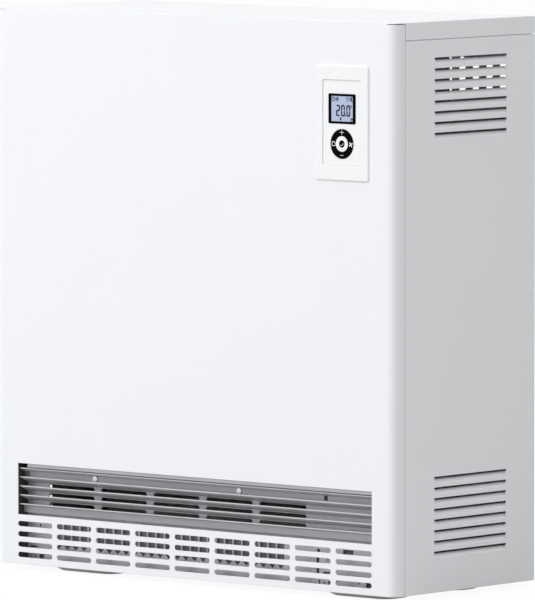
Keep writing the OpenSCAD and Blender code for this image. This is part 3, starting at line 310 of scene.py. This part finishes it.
def mixed_colour(tree, x, y, mask, first, second):
    """A colour that goes from first to second by a mask; both are sockets or plain colours."""
    mix = new_node(tree, "ShaderNodeMix", x, y, data_type="RGBA")
    for index, value in ((MIX_FIRST, first), (MIX_SECOND, second)):
        plain = isinstance(value, tuple)
        feed(tree, mix.inputs[index], (*value[:3], 1.0) if plain else value)
    tree.links.new(mask, mix.inputs[MIX_MASK])
    return mix.outputs[MIX_RESULT]


def spread(tree, x, y, value, low, high):
    """Maps a 0 to 1 value to low..high."""
    node = new_node(tree, "ShaderNodeMapRange", x, y)
    tree.links.new(value, node.inputs["Value"])
    node.inputs["To Min"].default_value = low
    node.inputs["To Max"].default_value = high
    return node.outputs["Result"]


def scaled(colour, factor):
    """A colour made lighter or darker, kept below 1."""
    return tuple(min(1.0, channel * factor) for channel in colour[:3])


# ---------------------------------------------------------------- finishes

class Finish:
    """One material: a Principled shader with named helpers for what feeds it."""

    def __init__(self, name, roughness=0.5, metallic=0.0, specular=0.5):
        self.material = bpy.data.materials.new(name)
        self.material.use_nodes = True
        self.tree = self.material.node_tree
        self.shader = self.tree.nodes["Principled BSDF"]
        self.roughness = roughness
        self.shader.inputs["Roughness"].default_value = roughness
        self.shader.inputs["Metallic"].default_value = metallic
        self.shader.inputs["Specular IOR Level"].default_value = specular

    def link(self, socket, name):
        """Feeds one input of the shader."""
        self.tree.links.new(socket, self.shader.inputs[name])

    def colour(self, first, second, mask, edge=None, edge_colour=None):
        """Base colour between two tones, with an optional third tone over a second mask: a painted
        highlight on rounded edges for the coated and metal finishes, settled dust for mineral.
        """
        base = mixed_colour(self.tree, -500, 300, mask, first, second)
        if edge is not None:
            base = mixed_colour(self.tree, -300, 300, edge, base, edge_colour)
        self.link(base, "Base Color")

    def shine(self, value, below, above):
        """Lets a pattern move the roughness a little to both sides."""
        high = min(1.0, self.roughness + above)
        self.link(spread(self.tree, -500, 0, value, self.roughness - below, high), "Roughness")

    def relief(self, height, strength, depth, normal=None):
        """Bump from a height, depth in millimetres, laid over an optional rounded normal."""
        bump = new_node(self.tree, "ShaderNodeBump", -250, -300)
        bump.inputs["Strength"].default_value = strength
        bump.inputs["Distance"].default_value = depth * MM
        self.tree.links.new(height, bump.inputs["Height"])
        if normal is not None:
            self.tree.links.new(normal, bump.inputs["Normal"])
        self.link(bump.outputs["Normal"], "Normal")

    def tones_and_edge_highlight(self, colour, tones, mask, height, strength, depth, radius, gain):
        """Tones of a colour by a mask, a relief, and rounded edges painted in a lighter tone as a
        highlight.
        """
        edge = place_group(self.tree, "edge", -900, -250, Radius=radius * MM, Gain=gain)
        # The third tone is a painted highlight on the rounded edges.
        dark, light, edge_highlight = (scaled(colour, tone) for tone in tones)
        self.colour(dark, light, mask, edge.outputs["Edge"], edge_highlight)
        self.relief(height, strength, depth, edge.outputs["Normal"])


def coated(name, colour, roughness, pitch, depth, edge, coat=0.0, specular=0.5):
    """Paint or moulded plastic: fine grain, cloudy tone, softened edges with a faint painted
    highlight.
    """
    finish = Finish(name, roughness, specular=specular)
    grain = place_group(finish.tree, "grain", -900, 100, Pitch=pitch * MM, Cloud_Pitch=0.16)
    # The last tone, 1.03, is a faint painted highlight on the edges.
    finish.tones_and_edge_highlight(colour, (0.985, 1.01, 1.03), grain.outputs["Cloud"], grain.outputs["Height"],
                strength=0.25, depth=depth, radius=edge, gain=1.2)
    finish.shine(grain.outputs["Height"], below=0.04, above=0.05)
    finish.shader.inputs["Coat Weight"].default_value = coat
    return finish.material


def sheet_metal(name, colour, roughness, patch, metallic=0.3, edge=0.4, contrast=0.10):
    """Galvanised sheet: crystal patches and a painted highlight along the edges."""
    finish = Finish(name, roughness, metallic)
    spangle = place_group(finish.tree, "spangle", -900, 100, Patch=patch * MM)
    # 1.35 is a painted highlight on the edges.
    finish.tones_and_edge_highlight(colour, (1 - contrast, 1 + contrast, 1.35), spangle.outputs["Tone"],
                spangle.outputs["Height"], strength=0.15, depth=0.1, radius=edge, gain=1.6)
    finish.shine(spangle.outputs["Tone"], below=0.06, above=0.08)
    return finish.material


def brushed_metal(name, colour, roughness, pitch, stretch, edge, metallic=1.0):
    """Rolled or brushed metal with streaks along its length and a painted highlight along the
    edges.
    """
    finish = Finish(name, roughness, metallic)
    streaks = place_group(finish.tree, "brushed", -900, 100, Pitch=pitch * MM, Stretch=stretch)
    # 1.3 is a painted highlight on the edges.
    finish.tones_and_edge_highlight(colour, (0.86, 1.08, 1.3), streaks.outputs["Tone"], streaks.outputs["Height"],
                strength=0.2, depth=0.1, radius=edge, gain=1.6)
    finish.shine(streaks.outputs["Height"], below=0.08, above=0.1)
    return finish.material


def mineral(name, colour, roughness, pitch, depth, dust):
    """Brick, insulating board or filter felt: rough grain with settled dust."""
    dust_colour = (0.5, 0.48, 0.45)
    finish = Finish(name, roughness, specular=0.3)
    grain = place_group(finish.tree, "grain", -900, 100, Pitch=pitch * MM, Cloud_Pitch=0.03)
    settled = place_group(finish.tree, "dust", -900, -200, Amount=dust)
    finish.colour(scaled(colour, 0.8), scaled(colour, 1.2), grain.outputs["Cloud"],
                  settled.outputs["Mask"], dust_colour)
    finish.shine(grain.outputs["Height"], below=0.1, above=0.1)
    finish.relief(grain.outputs["Height"], 0.6, depth)
    return finish.material


def dress(material, *names):
    """Gives CAD nodes a material."""
    for name in names:
        slots = NODES[name].data.materials
        slots.clear()
        slots.append(material)


# ---------------------------------------------------------------- flat marks

INK_THICKNESS = 0.03 * MM
INK_LIFT = 0.04 * MM  # how far the face of a print stands in front of what it lies on


def thin_piece(name, outlines, face_y, material, body):
    """Thin plates from closed (x, z) outlines, in metres; their fronts stand at face_y."""
    mesh = bmesh.new()
    for outline in outlines:
        corners = [mesh.verts.new((x, face_y, z)) for x, z in outline]
        face = mesh.faces.new(corners)
        face.normal_update()
        if face.normal.y > 0:
            face.normal_flip()
        swept = bmesh.ops.extrude_face_region(mesh, geom=[face])
        moved = [part for part in swept["geom"] if isinstance(part, bmesh.types.BMVert)]
        bmesh.ops.translate(mesh, vec=(0, INK_THICKNESS, 0), verts=moved)
    bmesh.ops.recalc_face_normals(mesh, faces=mesh.faces)
    data = bpy.data.meshes.new(name)
    mesh.to_mesh(data)
    mesh.free()
    piece = bpy.data.objects.new(name, data)
    bpy.context.scene.collection.objects.link(piece)
    data.materials.append(material)
    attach(piece, body)
    return piece


def placed(outlines, x, z):
    """Outlines in millimetres, moved to a place in metres."""
    return [[(x + a * MM, z + b * MM) for a, b in outline] for outline in outlines]


def around(angle, radius):
    """A point at an angle in degrees."""
    return radius * math.cos(math.radians(angle)), radius * math.sin(math.radians(angle))


def disc(x, z, radius, count):
    """Points of a circle, counter-clockwise."""
    rim = [around(360 * k / count, radius) for k in range(count)]
    return [(x + a, z + b) for a, b in rim]


def arc_band(x, z, inner, outer, start, stop, count=12):
    """A bent band between two radii, angles in degrees."""
    angles = [start + (stop - start) * k / count for k in range(count + 1)]
    rim = [around(angle, outer) for angle in angles]
    back = [around(angle, inner) for angle in reversed(angles)]
    return [(x + a, z + b) for a, b in rim + back]


def bar(x0, z0, x1, z1):
    """A rectangle from two corners."""
    return [(x0, z0), (x1, z0), (x1, z1), (x0, z1)]


def turned(outline, angle):
    """An outline turned about its middle by degrees."""
    across, up = around(angle, 1.0)
    return [(a * across - b * up, a * up + b * across) for a, b in outline]


def segment(x, z, length, width, upright):
    """A display segment with pointed ends, its middle at (x, z)."""
    half, tip = length / 2, width / 2
    shape = [(-half, 0), (-half + tip, -tip), (half - tip, -tip),
             (half, 0), (half - tip, tip), (-half + tip, tip)]
    return [(x + (b if upright else a), z + (a if upright else b)) for a, b in shape]


SEGMENTS = {"0": "abcdef", "1": "bc", "2": "abged", "3": "abgcd", "4": "fgbc",
            "5": "afgcd", "6": "afgedc", "7": "abc", "8": "abcdefg", "9": "abcdfg"}


def digit(figure, left, low, width, height, stroke):
    """Outlines of one seven-segment digit, whose segments stop a little short of each other."""
    mid_x, half = left + width / 2, height / 2
    across, up = width - stroke * 0.5, half - stroke * 0.35
    x0, x1 = left + stroke / 2, left + width - stroke / 2
    z0, z1, z2 = low + stroke / 2, low + half, low + height - stroke / 2
    table = {"a": (mid_x, z2, across, False), "g": (mid_x, z1, across, False),
             "d": (mid_x, z0, across, False), "f": (x0, (z1 + z2) / 2, up, True),
             "b": (x1, (z1 + z2) / 2, up, True), "e": (x0, (z0 + z1) / 2, up, True),
             "c": (x1, (z0 + z1) / 2, up, True)}
    return [segment(x, z, length, stroke, upright)
            for x, z, length, upright in (table[key] for key in SEGMENTS[figure])]


# Plain symbols of the display: place from its upper left corner and outlines, in millimetres
SYMBOLS = {
    "hand_wheel": (3.0, -3.4, [arc_band(0, 0, 1.7, 2.6, 120, 420, 20),
                               bar(-0.5, 0.4, 0.5, 2.8)]),
    "sun": (8.6, -3.4, [disc(0, 0, 1.4, 16)]
            + [disc(*around(45 * k, 2.2), 0.6, 8) for k in range(8)]),
    "clock": (24.3, -3.4, [arc_band(0, 0, 1.8, 2.6, 45 * k + 4, 45 * k + 34, 4)
                           for k in range(8)]
              + [[(-0.4, 0), (1.4, 0), (1.4, 0.8), (0.4, 0.8), (0.4, 1.6), (-0.4, 1.6)]]),
    "half_disc": (30.3, -3.4, [arc_band(0, 0, 1.7, 2.6, -90, 90),
                               arc_band(0, 0, 0.3, 2.6, 90, 270)]),
    "drop": (13.7, -25.7, [[(0, -2.3), (1.4, -0.7), (1.1, 0.8), (0, 2.3), (-1.1, 0.8),
                            (-1.4, -0.7)]]),
    "house": (30.3, -26.6, [bar(-2.0, -2.3, 2.0, -1.4), bar(-2.0, -1.4, -0.8, 0.5),
                            bar(0.8, -1.4, 2.0, 0.5), [(-2.5, 0.5), (2.5, 0.5), (0, 2.6)]]),
}

PLUS = [(-3.1, -0.28), (-0.28, -0.28), (-0.28, -3.0), (0.28, -3.0), (0.28, -0.28),
        (3.1, -0.28), (3.1, 0.28), (0.28, 0.28), (0.28, 3.0), (-0.28, 3.0),
        (-0.28, 0.28), (-3.1, 0.28)]
PAGE = [(-2.7, -2.6), (2.8, -2.6), (2.8, 0.6), (2.1, 0.6), (2.1, -1.9), (-2.0, -1.9),
        (-2.0, 1.9), (1.0, 1.9), (1.0, 0.8), (2.8, 0.8), (1.0, 2.6), (-2.7, 2.6)]
FAN_BLADE = [(0.6, -0.6), (1.8, -0.3), (3.1, -0.1), (3.2, 0.9), (2.0, 1.4)]
FAN = [point for k in range(4) for point in turned(FAN_BLADE, 90 * k + 20)]

# Marks of the ring's keys: body, place from the middle key's centre and outline, in millimetres
RING_MARKS = {
    "mark_plus": ("up_key", 0, 13.1, PLUS),
    "mark_minus": ("down_key", 0, -12.9, bar(-2.7, -0.2, 2.7, 0.2)),
    "mark_page": ("left_key", -12.0, 0, PAGE),
    "mark_fan": ("right_key", 13.3, -0.4, FAN),
}


# ---------------------------------------------------------------- operators

class HEATER_OT_casing(bpy.types.Operator):
    """Powder coat on the casing, feet and rear panel"""

    bl_idname = "heater.casing"
    bl_label = "Casing"

    def execute(self, context):
        look = context.scene.heater_finish
        dress(coated("powder_coat", look.paint, look.paint_roughness, pitch=look.peel / MM,
                     depth=0.06, edge=0.7, specular=0.35),
              "front_panel", "top_cover", "side_panel_left", "side_panel_right", "rear_panel",
              "front_feet", "rear_feet")
        return {"FINISHED"}


class HEATER_OT_outlet(bpy.types.Operator):
    """Metal of the air outlet, the duct plate, the filter and the screws"""

    bl_idname = "heater.outlet"
    bl_label = "Air Outlet"

    def execute(self, context):
        look = context.scene.heater_finish
        dress(brushed_metal("satin_slats", look.slats, 0.45, pitch=0.6, stretch=80, edge=0.4,
                            metallic=0.35),
              "outlet_slats")
        # A darker copy of the zinc: painted shade on the rails, which sit nearer the front than
        # the duct plate and take more light.
        dress(brushed_metal("rolled_rail", scaled(look.zinc, 0.8), 0.45, pitch=0.9, stretch=60,
                            edge=0.4, metallic=0.4),
              "grille_mount_rail", "grille_bottom_rail")
        # A lighter copy of the zinc: painted light that lifts the shade of the duct plate deep
        # behind the slots.
        dress(sheet_metal("duct_zinc", scaled(look.zinc, 1.12), 0.42, patch=5, contrast=0.05),
              "duct_front_plate")
        # The cheeks' near-black colour is painted shade of the outlet's ends.
        dress(coated("painted_shade_cheeks", look.cheeks, 0.6, pitch=1.5, depth=0.05, edge=0.4),
              "duct_side_cheeks")
        dress(brushed_metal("zinc_screws", (0.74, 0.74, 0.75), 0.32, pitch=0.5, stretch=4,
                            edge=0.3),
              "duct_screws", "lid_screws", "foot_screws")
        dress(mineral("filter_felt", (0.2, 0.2, 0.21), 0.85, pitch=0.8, depth=0.2, dust=0.1),
              "lint_filter")
        return {"FINISHED"}


class HEATER_OT_core(bpy.types.Operator):
    """Bricks, insulation, elements and inner sheet walls"""

    bl_idname = "heater.core"
    bl_label = "Storage Core"

    def execute(self, context):
        look = context.scene.heater_finish
        dress(sheet_metal("inner_zinc", scaled(look.zinc, 1.2), 0.45, patch=9),
              "base_pan", "inner_wall_left", "partition_plate", "inner_wall_front",
              "inner_wall_rear", "core_floor_plate", "core_lid")
        dress(mineral("pressed_board", look.board, 0.9, pitch=1.2, depth=0.5, dust=0.15),
              *("insulation_" + side for side in
                ("front", "rear", "left", "right", "top", "bottom")))
        dress(mineral("fired_brick", look.brick, 0.85, pitch=1.6, depth=0.6, dust=0.25),
              "brick_stage_1", "brick_stage_2", "brick_stage_3")
        dress(brushed_metal("drawn_steel", (0.36, 0.34, 0.33), 0.4, pitch=0.8, stretch=20,
                            edge=0.3),
              "heating_elements", "core_sensor")
        return {"FINISHED"}


class HEATER_OT_air(bpy.types.Operator):
    """Fan, motor and mixing flap"""

    bl_idname = "heater.air"
    bl_label = "Fan and Flap"

    def execute(self, context):
        look = context.scene.heater_finish
        dress(sheet_metal("fan_zinc", scaled(look.zinc, 1.3), 0.42, patch=6),
              "fan_housing", "mixing_flap", "flap_brackets")
        dress(brushed_metal("pressed_aluminium", (0.72, 0.73, 0.75), 0.4, pitch=0.6, stretch=40,
                            edge=0.2, metallic=0.2),
              "fan_rotor")
        dress(brushed_metal("ground_steel", (0.5, 0.5, 0.51), 0.25, pitch=0.4, stretch=30,
                            edge=0.2),
              "fan_shaft", "flap_shaft")
        dress(brushed_metal("stacked_iron", (0.2, 0.21, 0.225), 0.5, pitch=0.7, stretch=0.02,
                            edge=0.2),
              "fan_motor")
        dress(brushed_metal("rolled_bimetal", (0.62, 0.42, 0.2), 0.35, pitch=0.5, stretch=30,
                            edge=0.2),
              "bimetal_actuator")
        dress(coated("soft_rubber", (0.018, 0.018, 0.018), 0.75, pitch=1.2, depth=0.1, edge=0.4),
              "fan_bearing", "cable_grommet")
        return {"FINISHED"}


class HEATER_OT_electrics(bpy.types.Operator):
    """Terminals, charge controller and safety limiter"""

    bl_idname = "heater.electrics"
    bl_label = "Electrics"

    def execute(self, context):
        dress(coated("pale_moulding", (0.68, 0.68, 0.63), 0.45, pitch=1, depth=0.06, edge=0.5),
              "terminal_block", "charge_controller", "controller_housing")
        dress(coated("dark_moulding", (0.02, 0.02, 0.022), 0.4, pitch=1, depth=0.06, edge=0.5),
              "safety_limiter", "display_module")
        dress(coated("circuit_board", (0.01, 0.10, 0.035), 0.35, pitch=0.8, depth=0.04,
                     edge=0.3, coat=0.3),
              "controller_board")
        return {"FINISHED"}


class HEATER_OT_controller(bpy.types.Operator):
    """Mouldings, display and keys of the room controller"""

    bl_idname = "heater.controller"
    bl_label = "Room Controller"

    def execute(self, context):
        look = context.scene.heater_controller
        dress(coated("white_moulding", look.plastic, 0.28, pitch=1.4, depth=0.03, edge=1.2),
              "controller_frame", "controller_face", "key_ok")
        dress(coated("gloss_black", look.gloss_black, 0.22, pitch=1.2, depth=0.01, edge=0.5,
                     specular=0.02),
              "display_surround", "key_up", "key_down", "key_left", "key_right")
        glass = Finish("display_glass", 0.12)
        grain = place_group(glass.tree, "grain", -900, 100, Pitch=0.6 * MM, Cloud_Pitch=0.02)
        glass.colour(scaled(look.display, 0.93), scaled(look.display, 1.07),
                     grain.outputs["Cloud"])
        glass.shine(grain.outputs["Height"], below=0.04, above=0.04)
        glass.relief(grain.outputs["Height"], 0.05, depth=0.01)
        dress(glass.material, "display_glass")
        return {"FINISHED"}


class HEATER_OT_display_marks(bpy.types.Operator):
    """Digits and plain symbols of the display"""

    bl_idname = "heater.display_marks"
    bl_label = "Display Marks"

    def execute(self, context):
        look = context.scene.heater_controller
        ink = coated("display_ink", look.ink, 0.5, pitch=1, depth=0.01, edge=0.1)
        low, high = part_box("display_glass")
        face = low.y - INK_LIFT
        symbols = []
        for x, z, outlines in SYMBOLS.values():
            symbols += placed(outlines, low.x + x * MM, high.z + z * MM)
        thin_piece("display_digits", self.digits(look, low.x, high.z), face, ink, "root")
        thin_piece("display_symbols", symbols, face, ink, "root")
        return {"FINISHED"}

    @staticmethod
    def digits(look, left, top):
        """The reading in seven-segment digits with a degree ring behind it."""
        height, stroke = look.digit_height, look.stroke
        width, step = 6.0 * MM, 7.2 * MM
        x, base = left + 6.9 * MM, top - 9.8 * MM - height
        outlines = []
        for figure in look.reading:
            if figure == ".":
                outlines.append(disc(x - 0.6 * MM, base + stroke / 2, stroke * 0.48, 12))
                x += 0.7 * MM
            else:
                outlines += digit(figure, x, base, width, height, stroke)
                x += step
        for start in (0, 180):
            outlines.append(arc_band(x - 0.1 * MM, base + height - 1.4 * MM, 0.6 * MM, 1.3 * MM,
                                     start, start + 180))
        return outlines


class HEATER_OT_key_marks(bpy.types.Operator):
    """Plus, minus, page and fan on the ring's keys, a dot and a crescent on the middle key"""

    bl_idname = "heater.key_marks"
    bl_label = "Key Marks"

    def execute(self, context):
        look = context.scene.heater_controller
        pale = coated("printed_white", (0.8, 0.8, 0.82), 0.4, pitch=1, depth=0.01, edge=0.1)
        black = coated("printed_black", look.gloss_black, 0.25, pitch=1, depth=0.01, edge=0.1,
                       specular=0.02)
        low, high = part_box("key_ok")
        x, z = (low.x + high.x) / 2, (low.z + high.z) / 2
        ring_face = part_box("key_up")[0].y - INK_LIFT
        for name, (body, across, up, outline) in RING_MARKS.items():
            thin_piece(name, placed([outline], x + across * MM, z + up * MM), ring_face, pale,
                       body)
        dot_face = low.y - INK_LIFT
        crescent_face = dot_face - 0.05 * MM
        thin_piece("mark_dot", placed([disc(0, 0, 4.2, 40)], x, z), dot_face, black,
                   "ok_key")
        thin_piece("mark_crescent", placed([arc_band(-1.0, 1.2, 2.7, 3.2, -120, -5)], x, z),
                   crescent_face, pale, "ok_key")
        return {"FINISHED"}


def white_to_camera(tree, shader, strength, share):
    """Mixes plain white light into a surface or sky, for what the camera and gloss see."""
    path = new_node(tree, "ShaderNodeLightPath", -600, 0)
    seen = math_node(tree, "MAXIMUM", -400, 0, path.outputs["Is Camera Ray"],
                     path.outputs["Is Glossy Ray"])
    seen = math_node(tree, "MAXIMUM", -250, 0, seen, path.outputs["Is Transmission Ray"])
    seen = math_node(tree, "MULTIPLY", -100, 0, seen, share)
    mix = new_node(tree, "ShaderNodeMixShader", 100, 0)
    kind = "ShaderNodeBackground" if isinstance(shader.node, bpy.types.ShaderNodeBackground) \
        else "ShaderNodeEmission"
    white = new_node(tree, kind, -100, -200)
    white.inputs["Color"].default_value = (1, 1, 1, 1)
    white.inputs["Strength"].default_value = strength
    for socket, value in zip(mix.inputs, (seen, shader, white.outputs[0])):
        tree.links.new(value, socket)
    return mix.outputs[0]


class HEATER_OT_stage(bpy.types.Operator):
    """Floor, sky, lamps and camera"""

    bl_idname = "heater.stage"
    bl_label = "Studio"

    def execute(self, context):
        look = context.scene.heater_stage
        self.floor()
        self.sky(context.scene, look.horizon, look.zenith)
        self.lamp("lamp_front", place=(-3.6, -5.4, 4.6), size=4.5, power=look.key)
        self.lamp("lamp_right", place=(3.0, -2.0, 4.5), size=3.0, power=look.fill)
        self.camera(context.scene, look)
        context.scene.view_settings.view_transform = "Standard"
        return {"FINISHED"}

    @staticmethod
    def floor():
        """A wide white floor just under the feet, clear when seen from below."""
        half, low, grey = 40.0, -0.2 * MM, 0.65
        data = bpy.data.meshes.new("studio_floor")
        data.from_pydata([(-half, -half, low), (half, -half, low), (half, half, low),
                          (-half, half, low)], [], [(0, 1, 2, 3)])
        floor = bpy.data.objects.new("studio_floor", data)
        bpy.context.scene.collection.objects.link(floor)
        finish = Finish("studio_white", 0.9, specular=0.0)
        finish.shader.inputs["Base Color"].default_value = (grey, grey, grey, 1)
        tree = finish.tree
        white = white_to_camera(tree, finish.shader.outputs[0], strength=1.06, share=0.88)
        under = new_node(tree, "ShaderNodeNewGeometry", 100, 300).outputs["Backfacing"]
        clear = new_node(tree, "ShaderNodeBsdfTransparent", 100, -200).outputs[0]
        mix = new_node(tree, "ShaderNodeMixShader", 350, 100)
        for socket, value in zip(mix.inputs, (under, white, clear)):
            tree.links.new(value, socket)
        tree.links.new(mix.outputs[0], tree.nodes["Material Output"].inputs["Surface"])
        data.materials.append(finish.material)

    @staticmethod
    def sky(scene, horizon, zenith):
        """White light that grows from the horizon to the zenith, behind a plain white."""
        world = bpy.data.worlds.new("studio_sky")
        world.use_nodes = True
        scene.world = world
        tree = world.node_tree
        even = tree.nodes["Background"]
        even.inputs["Color"].default_value = (1, 1, 1, 1)
        ray = new_node(tree, "ShaderNodeTexCoord", -900, 300).outputs["Generated"]
        split = new_node(tree, "ShaderNodeSeparateXYZ", -700, 300)
        tree.links.new(ray, split.inputs[0])
        tree.links.new(spread(tree, -500, 300, split.outputs["Z"], horizon, zenith),
                       even.inputs["Strength"])
        tree.links.new(white_to_camera(tree, even.outputs[0], strength=1.0, share=1.0),
                       tree.nodes["World Output"].inputs["Surface"])

    @staticmethod
    def lamp(name, place, size, power):
        """A square lamp that faces the heater's middle and doesn't show in gloss."""
        middle = Vector((0, 0, 0.33))
        data = bpy.data.lights.new(name, "AREA")
        data.size = size
        data.energy = power
        lamp = bpy.data.objects.new(name, data)
        lamp.location = place
        lamp.rotation_euler = (middle - Vector(place)).to_track_quat("-Z", "Y").to_euler()
        lamp.visible_glossy = False
        bpy.context.scene.collection.objects.link(lamp)

    @staticmethod
    def camera(scene, look):
        """The photograph's point of view."""
        data = bpy.data.cameras.new("camera")
        data.lens = look.lens
        data.sensor_width = 36.0
        data.clip_end = 200.0
        camera = bpy.data.objects.new("camera", data)
        camera.location = look.camera
        camera.rotation_euler = (math.radians(90) - look.pitch, 0, look.yaw)
        scene.collection.objects.link(camera)
        scene.camera = camera


class HEATER_PT_panel(bpy.types.Panel):
    """Sizes, colours and steps of the heater's looks"""

    bl_idname = "HEATER_PT_panel"
    bl_label = "Storage Heater"
    bl_space_type = "VIEW_3D"
    bl_region_type = "UI"
    bl_category = "Heater"

    def draw(self, context):
        layout = self.layout
        for group in SETTINGS:
            settings = getattr(context.scene, group)
            column = layout.column(align=True)
            for name in settings.__annotations__:
                column.prop(settings, name)
        for operator in STEPS:
            layout.operator(operator.bl_idname)


STEPS = (HEATER_OT_casing, HEATER_OT_outlet, HEATER_OT_core, HEATER_OT_air,
         HEATER_OT_electrics, HEATER_OT_controller, HEATER_OT_display_marks,
         HEATER_OT_key_marks, HEATER_OT_stage)
SETTINGS = {"heater_finish": HeaterFinish, "heater_controller": HeaterController,
            "heater_stage": HeaterStage}


def register():
    for name, group in SETTINGS.items():
        bpy.utils.register_class(group)
        setattr(bpy.types.Scene, name, bpy.props.PointerProperty(type=group))
    for item in (*STEPS, HEATER_PT_panel):
        bpy.utils.register_class(item)


def unregister():
    for item in reversed((*STEPS, HEATER_PT_panel)):
        bpy.utils.unregister_class(item)
    for name, group in reversed(SETTINGS.items()):
        delattr(bpy.types.Scene, name)
        bpy.utils.unregister_class(group)


def main():
    register()
    for operator in STEPS:
        getattr(bpy.ops.heater, operator.bl_idname.split(".")[1])()


if __name__ == "__main__":
    main()
